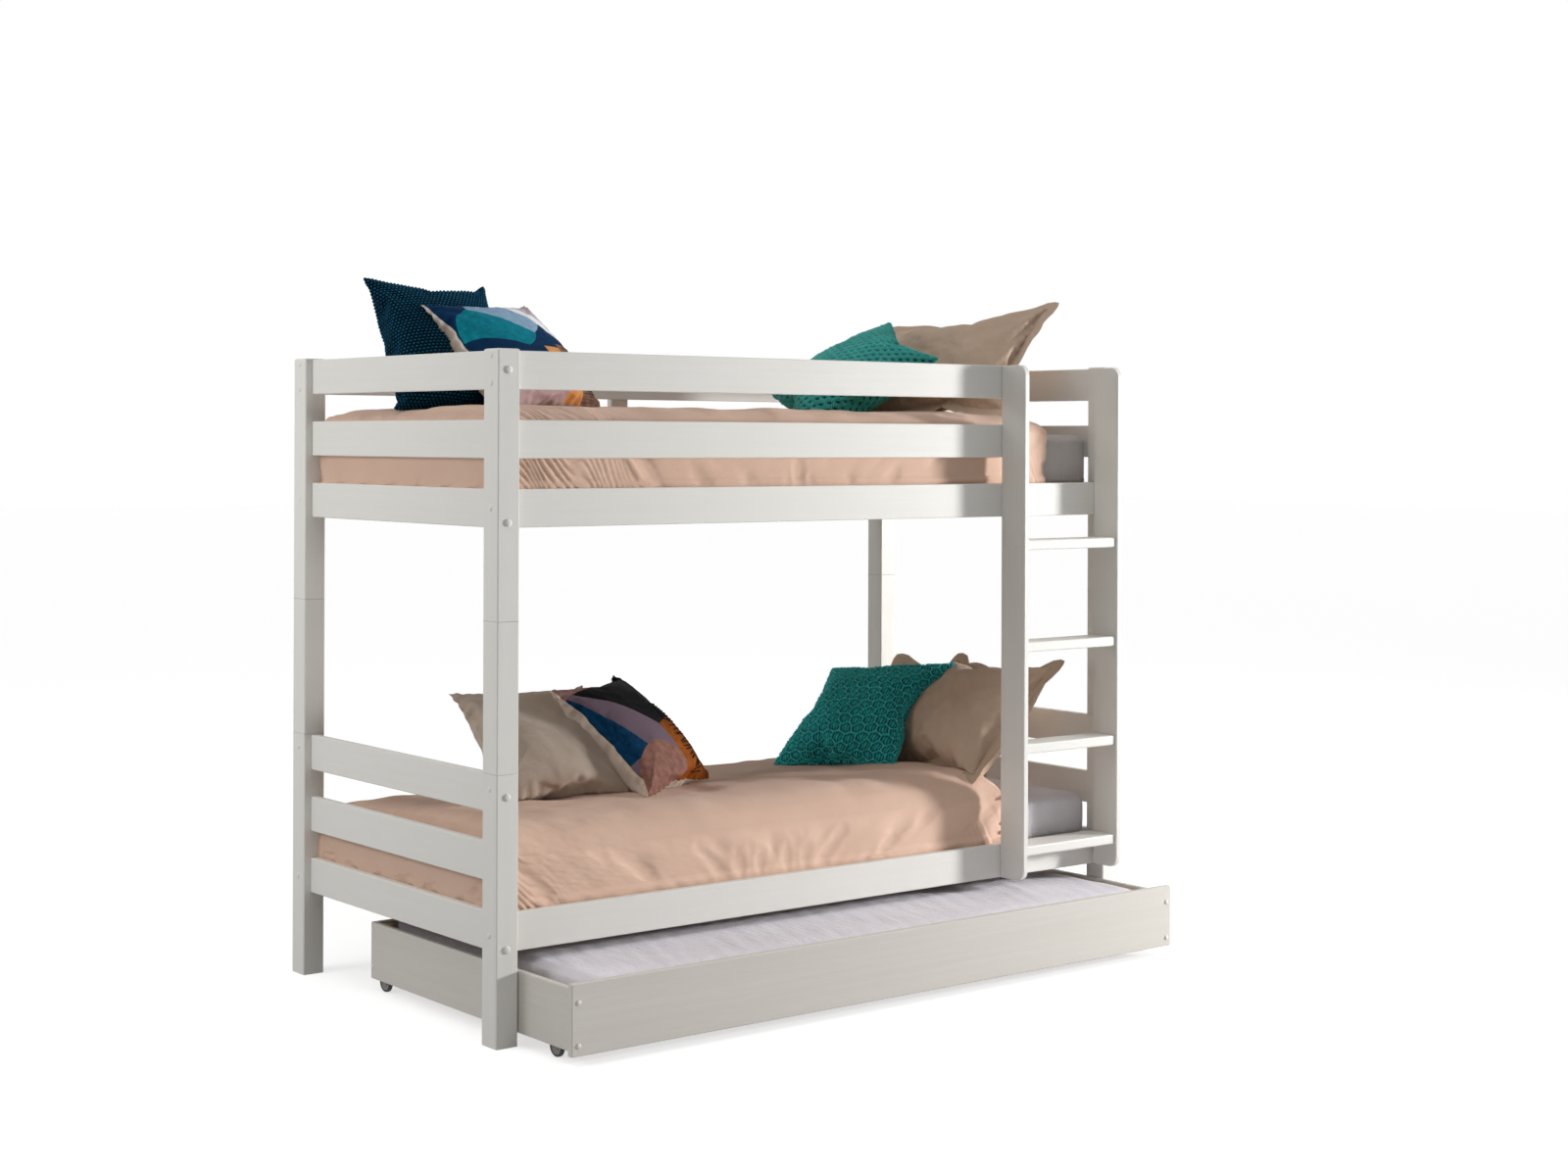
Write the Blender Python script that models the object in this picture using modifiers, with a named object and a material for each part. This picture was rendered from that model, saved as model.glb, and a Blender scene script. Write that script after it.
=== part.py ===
"""Bunk bed with a trundle drawer: two stacked pine beds, a ladder, a rolling drawer and the bedding.

Metres, +Z up, +X along the bed from its foot end to its head end, -Y towards the room. The origin
lies on the floor under the middle of the bed and of the drawer as it stands partly pulled out.
Places below are measured from the foot end, from the front of the posts and from the floor.
"""

import math

import bmesh
import bpy
from mathutils import Matrix, Vector
from mathutils.bvhtree import BVHTree

# Bed frames
BED_LENGTH = 2.100
BED_WIDTH = 1.010
POST_LENGTH = 0.638  # one bed's own post, the same on the lower and the upper bed
EXTENSION_LENGTH = 0.356
POST_SIZE_X = 0.060
POST_SIZE_Y = 0.064
POST_EDGE = 0.0025
POST_END_EDGE = 0.0012
POST_TOP_EDGE = 0.005
RAIL_HEIGHT = 0.091
RAIL_THICKNESS = 0.022
FIRST_RAIL_HEIGHT = 0.218  # underside of the lowest rail above the foot of its post
TOP_RAIL_DROP = 0.0036  # top rail below the top of its post
END_RAIL_INSET = 0.020
SIDE_RAIL_INSET = 0.022
RAILS_PER_END = 3
BOARD_EDGE = 0.002
BATTEN_WIDTH = 0.060
BATTEN_MARGIN = 0.010
SEAT_GAP = 0.0003  # between pieces that touch
CUT_OVERRUN = 0.004

# Steel pins that join the stacked posts
PIN_RADIUS = 0.005
PIN_REACH = 0.030
PIN_CLEARANCE = 0.0004
PIN_SIDES = 16
SMOOTH_ANGLE = math.radians(50)

# Slatted bases
LEDGER_DEPTH = 0.025
LEDGER_HEIGHT = 0.025
LEDGER_LIFT = 0.028
SLAT_COUNT = 14
SLAT_WIDTH = 0.070
SLAT_THICKNESS = 0.018
SLAT_END_PLAY = 0.002
SLAT_ROW_MARGIN = 0.045
TAPE_WIDTH = 0.025
TAPE_THICKNESS = 0.0015
TAPE_SINK = 0.0005
TAPE_INSET = 0.150

# Ladder
LADDER_WIDTH = 0.386
UPRIGHT_THICKNESS = 0.018
UPRIGHT_DEPTH = 0.090
UPRIGHT_CORNER = 0.028
UPRIGHT_CORNER_STEPS = 5
RUNG_COUNT = 4
RUNG_FIRST_TOP = 0.312
RUNG_LAST_DROP = 0.063  # top rung below the upper side rail
RUNG_THICKNESS = 0.027
RUNG_FRONT_SETBACK = 0.006
RUNG_EDGE = 0.004

# Trundle drawer
TRUNDLE_PULL = 0.242  # front of the drawer ahead of the posts, as it stands
TRUNDLE_DEPTH = 0.939
TRUNDLE_SIDE_CLEARANCE = 0.0025
FRONT_PANEL_OVERLAP = 0.012  # each end of the front panel over the posts
FRONT_PANEL_THICKNESS = 0.018
FRONT_PANEL_BOTTOM = 0.026
FRONT_PANEL_HEIGHT = 0.165
SIDE_PANEL_THICKNESS = 0.015
SIDE_PANEL_BOTTOM = 0.031
SIDE_PANEL_HEIGHT = 0.1455
BEARER_WIDTH = 0.040
BEARER_HEIGHT = 0.022
TRUNDLE_LEDGER_WIDTH = 0.025
TRUNDLE_LEDGER_DROP = 0.001
TRUNDLE_SLAT_COUNT = 13
TRUNDLE_SLAT_WIDTH = 0.060
TRUNDLE_SLAT_THICKNESS = 0.015
TRUNDLE_SLAT_SINK = 0.002
TRUNDLE_SLAT_MARGIN = 0.006
CORNER_POST_SIZE = 0.030
CORNER_POST_DROP = 0.006
CORNER_POST_SINK = 0.010
CLEAT_WIDTH = 0.020
CLEAT_HEIGHT = 0.020
CLEAT_DROP = 0.009

# Casters under the drawer's corners
WHEEL_RADIUS = 0.025
WHEEL_WIDTH = 0.012
WHEEL_BORE_CLEARANCE = 0.0003
WHEEL_HUB_RADIUS = 0.009
WHEEL_RIM_INNER_RADIUS = 0.019
WHEEL_WEB_RECESS = 0.002
WHEEL_TREAD_ROUND = 0.002
WHEEL_STEPS = 24
WHEEL_SIDE_PLAY = 0.0015
AXLE_RADIUS = 0.004
CASTER_TOP_PLAY = 0.002
CASTER_PLATE_THICKNESS = 0.003
CASTER_PLATE_LENGTH = 0.050
CASTER_PLATE_SINK = 0.0005
CASTER_CHEEK_THICKNESS = 0.003
CASTER_CHEEK_LENGTH = 0.024
CASTER_CHEEK_BELOW_AXLE = 0.010
CASTER_CHEEK_PLAY = 0.001
FRONT_CASTER_PLACE = 0.113  # axle behind the front of the drawer
REAR_CASTER_INSET = 0.041  # axle ahead of the back of the drawer

# Mattresses
MATTRESS_END_PLAY = 0.013
MATTRESS_SIDE_PLAY = 0.0185
UPPER_MATTRESS_THICKNESS = 0.157
LOWER_MATTRESS_THICKNESS = 0.126
TRUNDLE_MATTRESS_THICKNESS = 0.104
TRUNDLE_MATTRESS_PLAY = 0.006
TRUNDLE_MATTRESS_HEAD_GAP = 0.030
MATTRESS_EDGE = 0.022
MATTRESS_EDGE_STEPS = 3

# Duvets
UPPER_DUVET_THICKNESS = 0.054
LOWER_DUVET_THICKNESS = 0.084
UPPER_DUVET_HEAD_GAP = 0.198  # bare mattress at the head end of the bed
LOWER_DUVET_HEAD_GAP = 0.360
DUVET_SIDE_PLAY = 0.0015
DUVET_HEM_LIFT = 0.003  # hem above the side rail
DUVET_SHOULDER = 0.110
DUVET_EDGE_DROP_SHARE = 0.70  # of the duvet's thickness
DUVET_FOLD_DEPTH = 0.007
DUVET_FOLD_LENGTH = 0.260
UPPER_FOLD_PHASE = 0.4
LOWER_FOLD_PHASE = 2.1
DUVET_CORNER_PLAY = 0.004
DUVET_CELLS = (26, 14, 3)
DUVET_CELL_CROWDING_SHARE = 0.35

# Cushions: sizes as shares of the width inside the bed's side rails
CUSHION_SIDE_SHARE = 0.434
CUSHION_THICKNESS_SHARE = 0.1627
KNIT_CUSHION_SIDE_SHARE = 0.488
KNIT_CUSHION_THICKNESS_SHARE = 0.1627
PILLOW_WIDTH_SHARE = 0.651
PILLOW_HEIGHT_SHARE = 0.499
PILLOW_THICKNESS_SHARE = 0.1735
FRONT_PILLOW_WIDTH_SHARE = 0.564
FRONT_PILLOW_HEIGHT_SHARE = 0.5205
FRONT_PILLOW_THICKNESS_SHARE = 0.217
PILLOW_FLANGE_SHARE = 0.0293
CUSHION_RIM_SHARE = 0.0065
CUSHION_CELLS = 9
CUSHION_CROWN_POWER = 0.62
CUSHION_DRAWN_IN_SHARE = 0.055
CUSHION_REST_GAP = 0.0006

UPPER_BED_FLOOR = POST_LENGTH + EXTENSION_LENGTH
RAIL_PITCH = (POST_LENGTH - TOP_RAIL_DROP - RAIL_HEIGHT - FIRST_RAIL_HEIGHT) / (RAILS_PER_END - 1)
INNER_LENGTH_START = END_RAIL_INSET + RAIL_THICKNESS
INNER_LENGTH_END = BED_LENGTH - INNER_LENGTH_START
INNER_WIDTH_START = SIDE_RAIL_INSET + RAIL_THICKNESS
INNER_WIDTH_END = BED_WIDTH - INNER_WIDTH_START
INNER_WIDTH = INNER_WIDTH_END - INNER_WIDTH_START
LADDER_RIGHT = BED_LENGTH - POST_SIZE_X - SEAT_GAP
LADDER_LEFT = LADDER_RIGHT - LADDER_WIDTH
LADDER_BACK = SIDE_RAIL_INSET - SEAT_GAP
LADDER_FRONT = LADDER_BACK - UPRIGHT_DEPTH
RUNG_LAST_TOP = UPPER_BED_FLOOR + FIRST_RAIL_HEIGHT - RUNG_LAST_DROP
RUNG_PITCH = (RUNG_LAST_TOP - RUNG_FIRST_TOP) / (RUNG_COUNT - 1)
SLAT_BOTTOM = FIRST_RAIL_HEIGHT + LEDGER_LIFT + LEDGER_HEIGHT + SEAT_GAP
BASE_TOP = SLAT_BOTTOM + SLAT_THICKNESS + TAPE_THICKNESS - TAPE_SINK
MATTRESS_BOTTOM = BASE_TOP + SEAT_GAP

PAINT = ("white_stained_pine", (0.790, 0.775, 0.750), 0.50, 0.0)
PINE = ("natural_pine", (0.560, 0.370, 0.210), 0.60, 0.0)
STEEL = ("zinc_steel", (0.480, 0.480, 0.500), 0.35, 1.0)
TYRE = ("black_tread", (0.020, 0.020, 0.022), 0.55, 0.0)
WHITE_TICKING = ("white_ticking", (0.780, 0.770, 0.780), 0.90, 0.0)
GREY_SHEET = ("grey_sheet", (0.300, 0.280, 0.280), 0.90, 0.0)
PEACH_COTTON = ("peach_cotton", (0.590, 0.370, 0.280), 0.85, 0.0)
BEIGE_COTTON = ("beige_cotton", (0.330, 0.230, 0.165), 0.85, 0.0)
TEAL_KNIT = ("teal_knit", (0.005, 0.210, 0.175), 0.95, 0.0)
DARK_KNIT = ("dark_teal_knit", (0.002, 0.050, 0.085), 0.95, 0.0)


FOOT_CUSHION = (CUSHION_SIDE_SHARE, CUSHION_SIDE_SHARE, CUSHION_THICKNESS_SHARE, 0)
KNIT_CUSHION = (KNIT_CUSHION_SIDE_SHARE, KNIT_CUSHION_SIDE_SHARE, KNIT_CUSHION_THICKNESS_SHARE, 0)
PILLOW = (PILLOW_WIDTH_SHARE, PILLOW_HEIGHT_SHARE, PILLOW_THICKNESS_SHARE, PILLOW_FLANGE_SHARE)
FRONT_PILLOW = (FRONT_PILLOW_WIDTH_SHARE, FRONT_PILLOW_HEIGHT_SHARE, FRONT_PILLOW_THICKNESS_SHARE,
                PILLOW_FLANGE_SHARE)


class Pillow:
    """One cushion and how it leans.

    place_share is the middle of its lower edge, from the inner face of the bed's nearer end and
    from the bed's middle line, as shares of the width of its group's first cushion. facing is the
    compass angle of its face from +X, lean how far it tips back, spin its turn in its own plane.
    """

    def __init__(self, size_shares, place_share, facing, lean, spin):
        sizes = [share * INNER_WIDTH for share in size_shares]
        self.width, self.height, self.thickness, self.flange = sizes
        self.place_share = place_share
        self.facing, self.lean, self.spin = facing, lean, spin


UPPER_FOOT_PILLOWS = (
    Pillow(FOOT_CUSHION, place_share=(0.545, 0.213), facing=-86, lean=26, spin=-2),
    Pillow(FOOT_CUSHION, place_share=(0.955, -0.210), facing=-79, lean=45, spin=2),
)
UPPER_HEAD_KNIT = (
    Pillow(KNIT_CUSHION, place_share=(1.560, 0.062), facing=173, lean=57, spin=-9),
)
UPPER_HEAD_PILLOW = (
    Pillow(PILLOW, place_share=(0.605, -0.158), facing=-169, lean=42, spin=3),
)
LOWER_FOOT_PILLOWS = (
    Pillow(FOOT_CUSHION, place_share=(0.955, -0.390), facing=-100, lean=51, spin=0),
    Pillow(FOOT_CUSHION, place_share=(1.820, -0.475), facing=-62, lean=48, spin=0),
)
LOWER_HEAD_PILLOWS = (
    Pillow(KNIT_CUSHION, place_share=(1.310, 0.105), facing=-173, lean=53, spin=9),
    Pillow(FRONT_PILLOW, place_share=(0.960, -0.370), facing=-189, lean=45, spin=3),
    Pillow(PILLOW, place_share=(0.720, 0.010), facing=-173, lean=42, spin=0),
)


def clear_scene():
    for item in list(bpy.data.objects):
        bpy.data.objects.remove(item, do_unlink=True)


def new_collection(name):
    collection = bpy.data.collections.new(name)
    bpy.context.scene.collection.children.link(collection)
    return collection


def material(finish):
    name, colour, roughness, metallic = finish
    found = bpy.data.materials.get(name)
    if found:
        return found
    made = bpy.data.materials.new(name)
    made.use_nodes = True
    shader = made.node_tree.nodes["Principled BSDF"]
    shader.inputs["Base Color"].default_value = (*colour, 1.0)
    shader.inputs["Roughness"].default_value = roughness
    shader.inputs["Metallic"].default_value = metallic
    return made


class Workshop:
    """Keeps the collections and the empties that carry the pieces."""

    def __init__(self):
        self.parts = new_collection("bunk_bed_with_drawer")
        self.cutters = new_collection("cutters")
        self.bed = self.empty("bed_corner", None, self.bed_corner())
        self.trundle = self.empty("trundle_front", self.bed, (0, -TRUNDLE_PULL, 0))

    @staticmethod
    def bed_corner():
        """Foot-end front corner of the bed, with the whole object centred on the origin."""
        return (-BED_LENGTH / 2, (TRUNDLE_PULL - BED_WIDTH) / 2, 0)

    def empty(self, name, parent, place):
        made = bpy.data.objects.new(name, None)
        made.parent = parent
        made.location = place
        self.parts.objects.link(made)
        return made

    def add(self, name, mesh, finish, parent=None, place=(0, 0, 0), turn=None):
        made = bpy.data.objects.new(name, mesh)
        made.parent = parent or self.bed
        made.location = place
        if turn is not None:
            made.rotation_euler = turn
        if finish is None:
            self.cutters.objects.link(made)
            made.hide_render = True
            made.display_type = "WIRE"
        else:
            mesh.materials.append(material(finish))
            self.parts.objects.link(made)
        return made


def to_mesh(name, bm, smooth=False):
    mesh = bpy.data.meshes.new(name)
    bm.normal_update()
    bm.to_mesh(mesh)
    bm.free()
    if smooth:
        mesh.shade_smooth()
        mesh.set_sharp_from_angle(angle=SMOOTH_ANGLE)
    return mesh


def add_block(bm, low, high):
    """A plain block between two corners."""
    low, high = Vector(low), Vector(high)
    size = high - low
    middle = (low + high) / 2
    move = Matrix.Translation(middle) @ Matrix.Diagonal((*size, 1))
    return bmesh.ops.create_cube(bm, size=1, matrix=move)["verts"]


def block_mesh(name, size):
    bm = bmesh.new()
    add_block(bm, [-side / 2 for side in size], [side / 2 for side in size])
    return to_mesh(name, bm)


def round_edges(piece, width, steps=1, angle=None):
    bevel = piece.modifiers.new("rounded_edges", "BEVEL")
    bevel.width = width
    bevel.segments = steps
    bevel.limit_method = "NONE" if angle is None else "ANGLE"
    if angle is not None:
        bevel.angle_limit = angle
    return bevel


def combine(piece, other, operation):
    boolean = piece.modifiers.new(operation.lower(), "BOOLEAN")
    boolean.operation = operation
    boolean.solver = "EXACT"
    boolean.object = other
    return boolean


def board(shop, name, low, high, finish=PAINT, parent=None, edge=BOARD_EDGE, steps=1):
    """A board with softened edges between two corners, its own origin at its middle."""
    size = [b - a for a, b in zip(low, high)]
    middle = [(a + b) / 2 for a, b in zip(low, high)]
    piece = shop.add(name, block_mesh(name, size), finish, parent, middle)
    round_edges(piece, edge, steps)
    return piece


def rod_mesh(name, radius, length, sides, along="Z"):
    bm = bmesh.new()
    turn = {"Z": Matrix.Identity(4), "X": Matrix.Rotation(math.pi / 2, 4, "Y")}[along]
    bmesh.ops.create_cone(
        bm, cap_ends=True, segments=sides, radius1=radius, radius2=radius, depth=length, matrix=turn
    )
    return to_mesh(name, bm)


def post_mesh(name, length, top_edge, bottom_edge):
    """A post whose long edges, top and foot are each rounded by their own amount."""
    bm = bmesh.new()
    half_x, half_y = POST_SIZE_X / 2, POST_SIZE_Y / 2
    add_block(bm, (-half_x, -half_y, 0), (half_x, half_y, length))
    for width, level in ((top_edge, length), (bottom_edge, 0)):
        rim = [e for e in bm.edges if all(abs(v.co.z - level) < POST_EDGE for v in e.verts)]
        bmesh.ops.bevel(bm, geom=rim, offset=width, segments=2, affect="EDGES", profile=0.5)
    middle = length / 2
    longs = [e for e in bm.edges if abs(e.verts[0].co.z - e.verts[1].co.z) > middle]
    bmesh.ops.bevel(bm, geom=longs, offset=POST_EDGE, segments=1, affect="EDGES", profile=0.5)
    return to_mesh(name, bm)


def make_posts(shop):
    """Each corner is a lower post, an extension with a steel pin at both ends, and an upper post."""
    bore_radius = PIN_RADIUS + PIN_CLEARANCE
    bore_reach = PIN_REACH + CUT_OVERRUN
    corners = {
        "front_left": (POST_SIZE_X / 2, POST_SIZE_Y / 2),
        "front_right": (BED_LENGTH - POST_SIZE_X / 2, POST_SIZE_Y / 2),
        "back_left": (POST_SIZE_X / 2, BED_WIDTH - POST_SIZE_Y / 2),
        "back_right": (BED_LENGTH - POST_SIZE_X / 2, BED_WIDTH - POST_SIZE_Y / 2),
    }
    for corner, (x, y) in corners.items():
        lower = shop.add(
            "lower_post_" + corner,
            post_mesh("lower_post", POST_LENGTH - SEAT_GAP, POST_END_EDGE, POST_END_EDGE),
            PAINT, place=(x, y, 0),
        )
        extension = shop.add(
            "extension_block_" + corner,
            post_mesh("extension_block", EXTENSION_LENGTH, POST_END_EDGE, POST_END_EDGE),
            PAINT, place=(x, y, POST_LENGTH),
        )
        upper = shop.add(
            "upper_post_" + corner,
            post_mesh("upper_post", POST_LENGTH - SEAT_GAP, POST_TOP_EDGE, POST_END_EDGE),
            PAINT, place=(x, y, UPPER_BED_FLOOR + SEAT_GAP),
        )
        pin_length = EXTENSION_LENGTH + 2 * PIN_REACH
        pin_middle = POST_LENGTH + EXTENSION_LENGTH / 2
        pin = shop.add(
            "pin_shape_" + corner, rod_mesh("pin", PIN_RADIUS, pin_length, PIN_SIDES), None,
            place=(x, y, pin_middle),
        )
        combine(extension, pin, "UNION")
        bore = shop.add(
            "bore_shape_" + corner,
            rod_mesh("bore", bore_radius, EXTENSION_LENGTH + 2 * bore_reach, PIN_SIDES), None,
            place=(x, y, pin_middle),
        )
        for post in (lower, upper):
            combine(post, bore, "DIFFERENCE")


def rail_level(bed_floor, index):
    low = bed_floor + FIRST_RAIL_HEIGHT + index * RAIL_PITCH
    return low, low + RAIL_HEIGHT


def make_end_rails(shop):
    levels = ("bottom", "middle", "top")
    ends = {
        "foot": (END_RAIL_INSET, END_RAIL_INSET + RAIL_THICKNESS),
        "head": (BED_LENGTH - END_RAIL_INSET - RAIL_THICKNESS, BED_LENGTH - END_RAIL_INSET),
    }
    y0, y1 = POST_SIZE_Y + SEAT_GAP, BED_WIDTH - POST_SIZE_Y - SEAT_GAP
    for bed, floor in (("lower", 0), ("upper", UPPER_BED_FLOOR)):
        for end, (x0, x1) in ends.items():
            for index in range(RAILS_PER_END):
                z0, z1 = rail_level(floor, index)
                board(shop, f"{bed}_{end}_rail_{levels[index]}", (x0, y0, z0), (x1, y1, z1))


def side_rail(shop, name, outer_y, inward, floor):
    """A side rail with the ledger that carries the slats fixed along its inner face."""
    z0, z1 = rail_level(floor, 0)
    x0, x1 = POST_SIZE_X + SEAT_GAP, BED_LENGTH - POST_SIZE_X - SEAT_GAP
    inner_y = outer_y + inward * RAIL_THICKNESS
    rail = board(shop, name, (x0, min(outer_y, inner_y), z0), (x1, max(outer_y, inner_y), z1))
    ledger_z = z0 + LEDGER_LIFT
    root_y = inner_y - inward * RAIL_THICKNESS / 2
    tip_y = inner_y + inward * LEDGER_DEPTH
    low = (x0 + BOARD_EDGE, min(root_y, tip_y), ledger_z)
    high = (x1 - BOARD_EDGE, max(root_y, tip_y), ledger_z + LEDGER_HEIGHT)
    ledger = board(shop, name + "_ledger_shape", low, high, None)
    combine(rail, ledger, "UNION")
    return rail


def make_side_rails(shop):
    back_y = BED_WIDTH - SIDE_RAIL_INSET
    for bed, floor in (("lower", 0), ("upper", UPPER_BED_FLOOR)):
        side_rail(shop, bed + "_front_side_rail", SIDE_RAIL_INSET, 1, floor)
        side_rail(shop, bed + "_back_side_rail", back_y, -1, floor)


def make_guards(shop):
    """Guard rails of the upper bed. The front ones end on the ladder and leave the way in open."""
    x0 = POST_SIZE_X + SEAT_GAP
    front_end = LADDER_LEFT + UPRIGHT_THICKNESS
    back_end = BED_LENGTH - POST_SIZE_X - SEAT_GAP
    front_y = SIDE_RAIL_INSET
    back_y = BED_WIDTH - SIDE_RAIL_INSET - RAIL_THICKNESS
    for index, level in ((1, "middle"), (2, "top")):
        z0, z1 = rail_level(UPPER_BED_FLOOR, index)
        board(shop, "upper_front_guard_" + level,
              (x0, front_y, z0), (front_end, front_y + RAIL_THICKNESS, z1))
        board(shop, "upper_back_guard_" + level,
              (x0, back_y, z0), (back_end, back_y + RAIL_THICKNESS, z1))
    x_middle = BED_LENGTH / 2
    z0 = rail_level(UPPER_BED_FLOOR, 0)[0] + BATTEN_MARGIN
    z1 = rail_level(UPPER_BED_FLOOR, RAILS_PER_END - 1)[1] - BATTEN_MARGIN
    board(shop, "upper_back_guard_batten",
          (x_middle - BATTEN_WIDTH / 2, BED_WIDTH - SIDE_RAIL_INSET + SEAT_GAP, z0),
          (x_middle + BATTEN_WIDTH / 2, BED_WIDTH, z1))


def make_slat_base(shop, name, floor):
    """Slats across the bed, held in their row by two woven tapes."""
    z0 = floor + SLAT_BOTTOM
    z1 = z0 + SLAT_THICKNESS
    y0, y1 = INNER_WIDTH_START + SLAT_END_PLAY, INNER_WIDTH_END - SLAT_END_PLAY
    first = INNER_LENGTH_START + SLAT_ROW_MARGIN
    last = INNER_LENGTH_END - SLAT_ROW_MARGIN - SLAT_WIDTH
    pitch = (last - first) / (SLAT_COUNT - 1)
    slats = bmesh.new()
    for index in range(SLAT_COUNT):
        x = first + index * pitch
        add_block(slats, (x, y0, z0), (x + SLAT_WIDTH, y1, z1))
    base = shop.add(name, to_mesh(name, slats), PINE)
    tapes = bmesh.new()
    for y in (y0 + TAPE_INSET, y1 - TAPE_INSET - TAPE_WIDTH):
        add_block(tapes, (first + SLAT_END_PLAY, y, z1 - TAPE_SINK),
                  (last + SLAT_WIDTH - SLAT_END_PLAY, y + TAPE_WIDTH, z1 - TAPE_SINK + TAPE_THICKNESS))
    tape_shape = shop.add(name + "_tape_shape", to_mesh(name + "_tapes", tapes), None)
    combine(base, tape_shape, "UNION")


def upright_mesh(name, height):
    """A ladder upright: a board whose two front corners are rounded off."""
    bm = bmesh.new()
    add_block(bm, (0, 0, 0), (UPRIGHT_THICKNESS, UPRIGHT_DEPTH, height))
    front = [e for e in bm.edges
             if all(v.co.y < UPRIGHT_CORNER for v in e.verts)
             and abs(e.verts[0].co.z - e.verts[1].co.z) < UPRIGHT_CORNER]
    bmesh.ops.bevel(bm, geom=front, offset=UPRIGHT_CORNER, segments=UPRIGHT_CORNER_STEPS,
                    affect="EDGES", profile=0.5)
    return to_mesh(name, bm)


def make_ladder(shop):
    low = FIRST_RAIL_HEIGHT
    high = rail_level(UPPER_BED_FLOOR, RAILS_PER_END - 1)[1]
    for side, x in (("left", LADDER_LEFT), ("right", LADDER_RIGHT - UPRIGHT_THICKNESS)):
        name = "ladder_upright_" + side
        upright = shop.add(name, upright_mesh(name, high - low), PAINT, place=(x, LADDER_FRONT, low))
        round_edges(upright, BOARD_EDGE, 1, math.radians(40))
    x0 = LADDER_LEFT + UPRIGHT_THICKNESS + SEAT_GAP
    x1 = LADDER_RIGHT - UPRIGHT_THICKNESS - SEAT_GAP
    for index in range(RUNG_COUNT):
        top = RUNG_FIRST_TOP + index * RUNG_PITCH
        board(shop, f"ladder_rung_{index + 1}",
              (x0, LADDER_FRONT + RUNG_FRONT_SETBACK, top - RUNG_THICKNESS),
              (x1, LADDER_BACK, top), edge=RUNG_EDGE, steps=2)


TRUNDLE_SIDE = POST_SIZE_X + TRUNDLE_SIDE_CLEARANCE
TRUNDLE_INNER_X = TRUNDLE_SIDE + SIDE_PANEL_THICKNESS + SEAT_GAP
TRUNDLE_INNER_FRONT = FRONT_PANEL_THICKNESS + SEAT_GAP
TRUNDLE_INNER_BACK = TRUNDLE_DEPTH - SIDE_PANEL_THICKNESS - SEAT_GAP
TRUNDLE_PANEL_TOP = SIDE_PANEL_BOTTOM + SIDE_PANEL_HEIGHT
CASTER_PLATE_BOTTOM = 2 * WHEEL_RADIUS + CASTER_TOP_PLAY
BEARER_BOTTOM = CASTER_PLATE_BOTTOM + CASTER_PLATE_THICKNESS - CASTER_PLATE_SINK
BEARER_TOP = BEARER_BOTTOM + BEARER_HEIGHT
TRUNDLE_SLAT_BOTTOM = BEARER_TOP - TRUNDLE_LEDGER_DROP - TRUNDLE_SLAT_SINK
TRUNDLE_SLAT_TOP = TRUNDLE_SLAT_BOTTOM + TRUNDLE_SLAT_THICKNESS
WHEEL_OUTER_X = TRUNDLE_INNER_X - SEAT_GAP + WHEEL_SIDE_PLAY
CASTER_PLACES = {"front": FRONT_CASTER_PLACE, "rear": TRUNDLE_DEPTH - REAR_CASTER_INSET}


def mirrored(x0, x1, right):
    """A span of places measured from the foot end, or the same span from the head end."""
    return (BED_LENGTH - x1, BED_LENGTH - x0) if right else (x0, x1)


def make_trundle_panels(shop):
    front_x = POST_SIZE_X - FRONT_PANEL_OVERLAP
    board(shop, "trundle_front_panel",
          (front_x, 0, FRONT_PANEL_BOTTOM),
          (BED_LENGTH - front_x, FRONT_PANEL_THICKNESS, FRONT_PANEL_BOTTOM + FRONT_PANEL_HEIGHT),
          parent=shop.trundle)
    for side, right in (("left", False), ("right", True)):
        x0, x1 = mirrored(TRUNDLE_SIDE, TRUNDLE_SIDE + SIDE_PANEL_THICKNESS, right)
        board(shop, f"trundle_{side}_panel",
              (x0, TRUNDLE_INNER_FRONT, SIDE_PANEL_BOTTOM), (x1, TRUNDLE_DEPTH, TRUNDLE_PANEL_TOP),
              parent=shop.trundle)
    board(shop, "trundle_back_panel",
          (TRUNDLE_INNER_X, TRUNDLE_INNER_BACK + SEAT_GAP, SIDE_PANEL_BOTTOM),
          (BED_LENGTH - TRUNDLE_INNER_X, TRUNDLE_DEPTH, TRUNDLE_PANEL_TOP),
          parent=shop.trundle)


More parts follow.
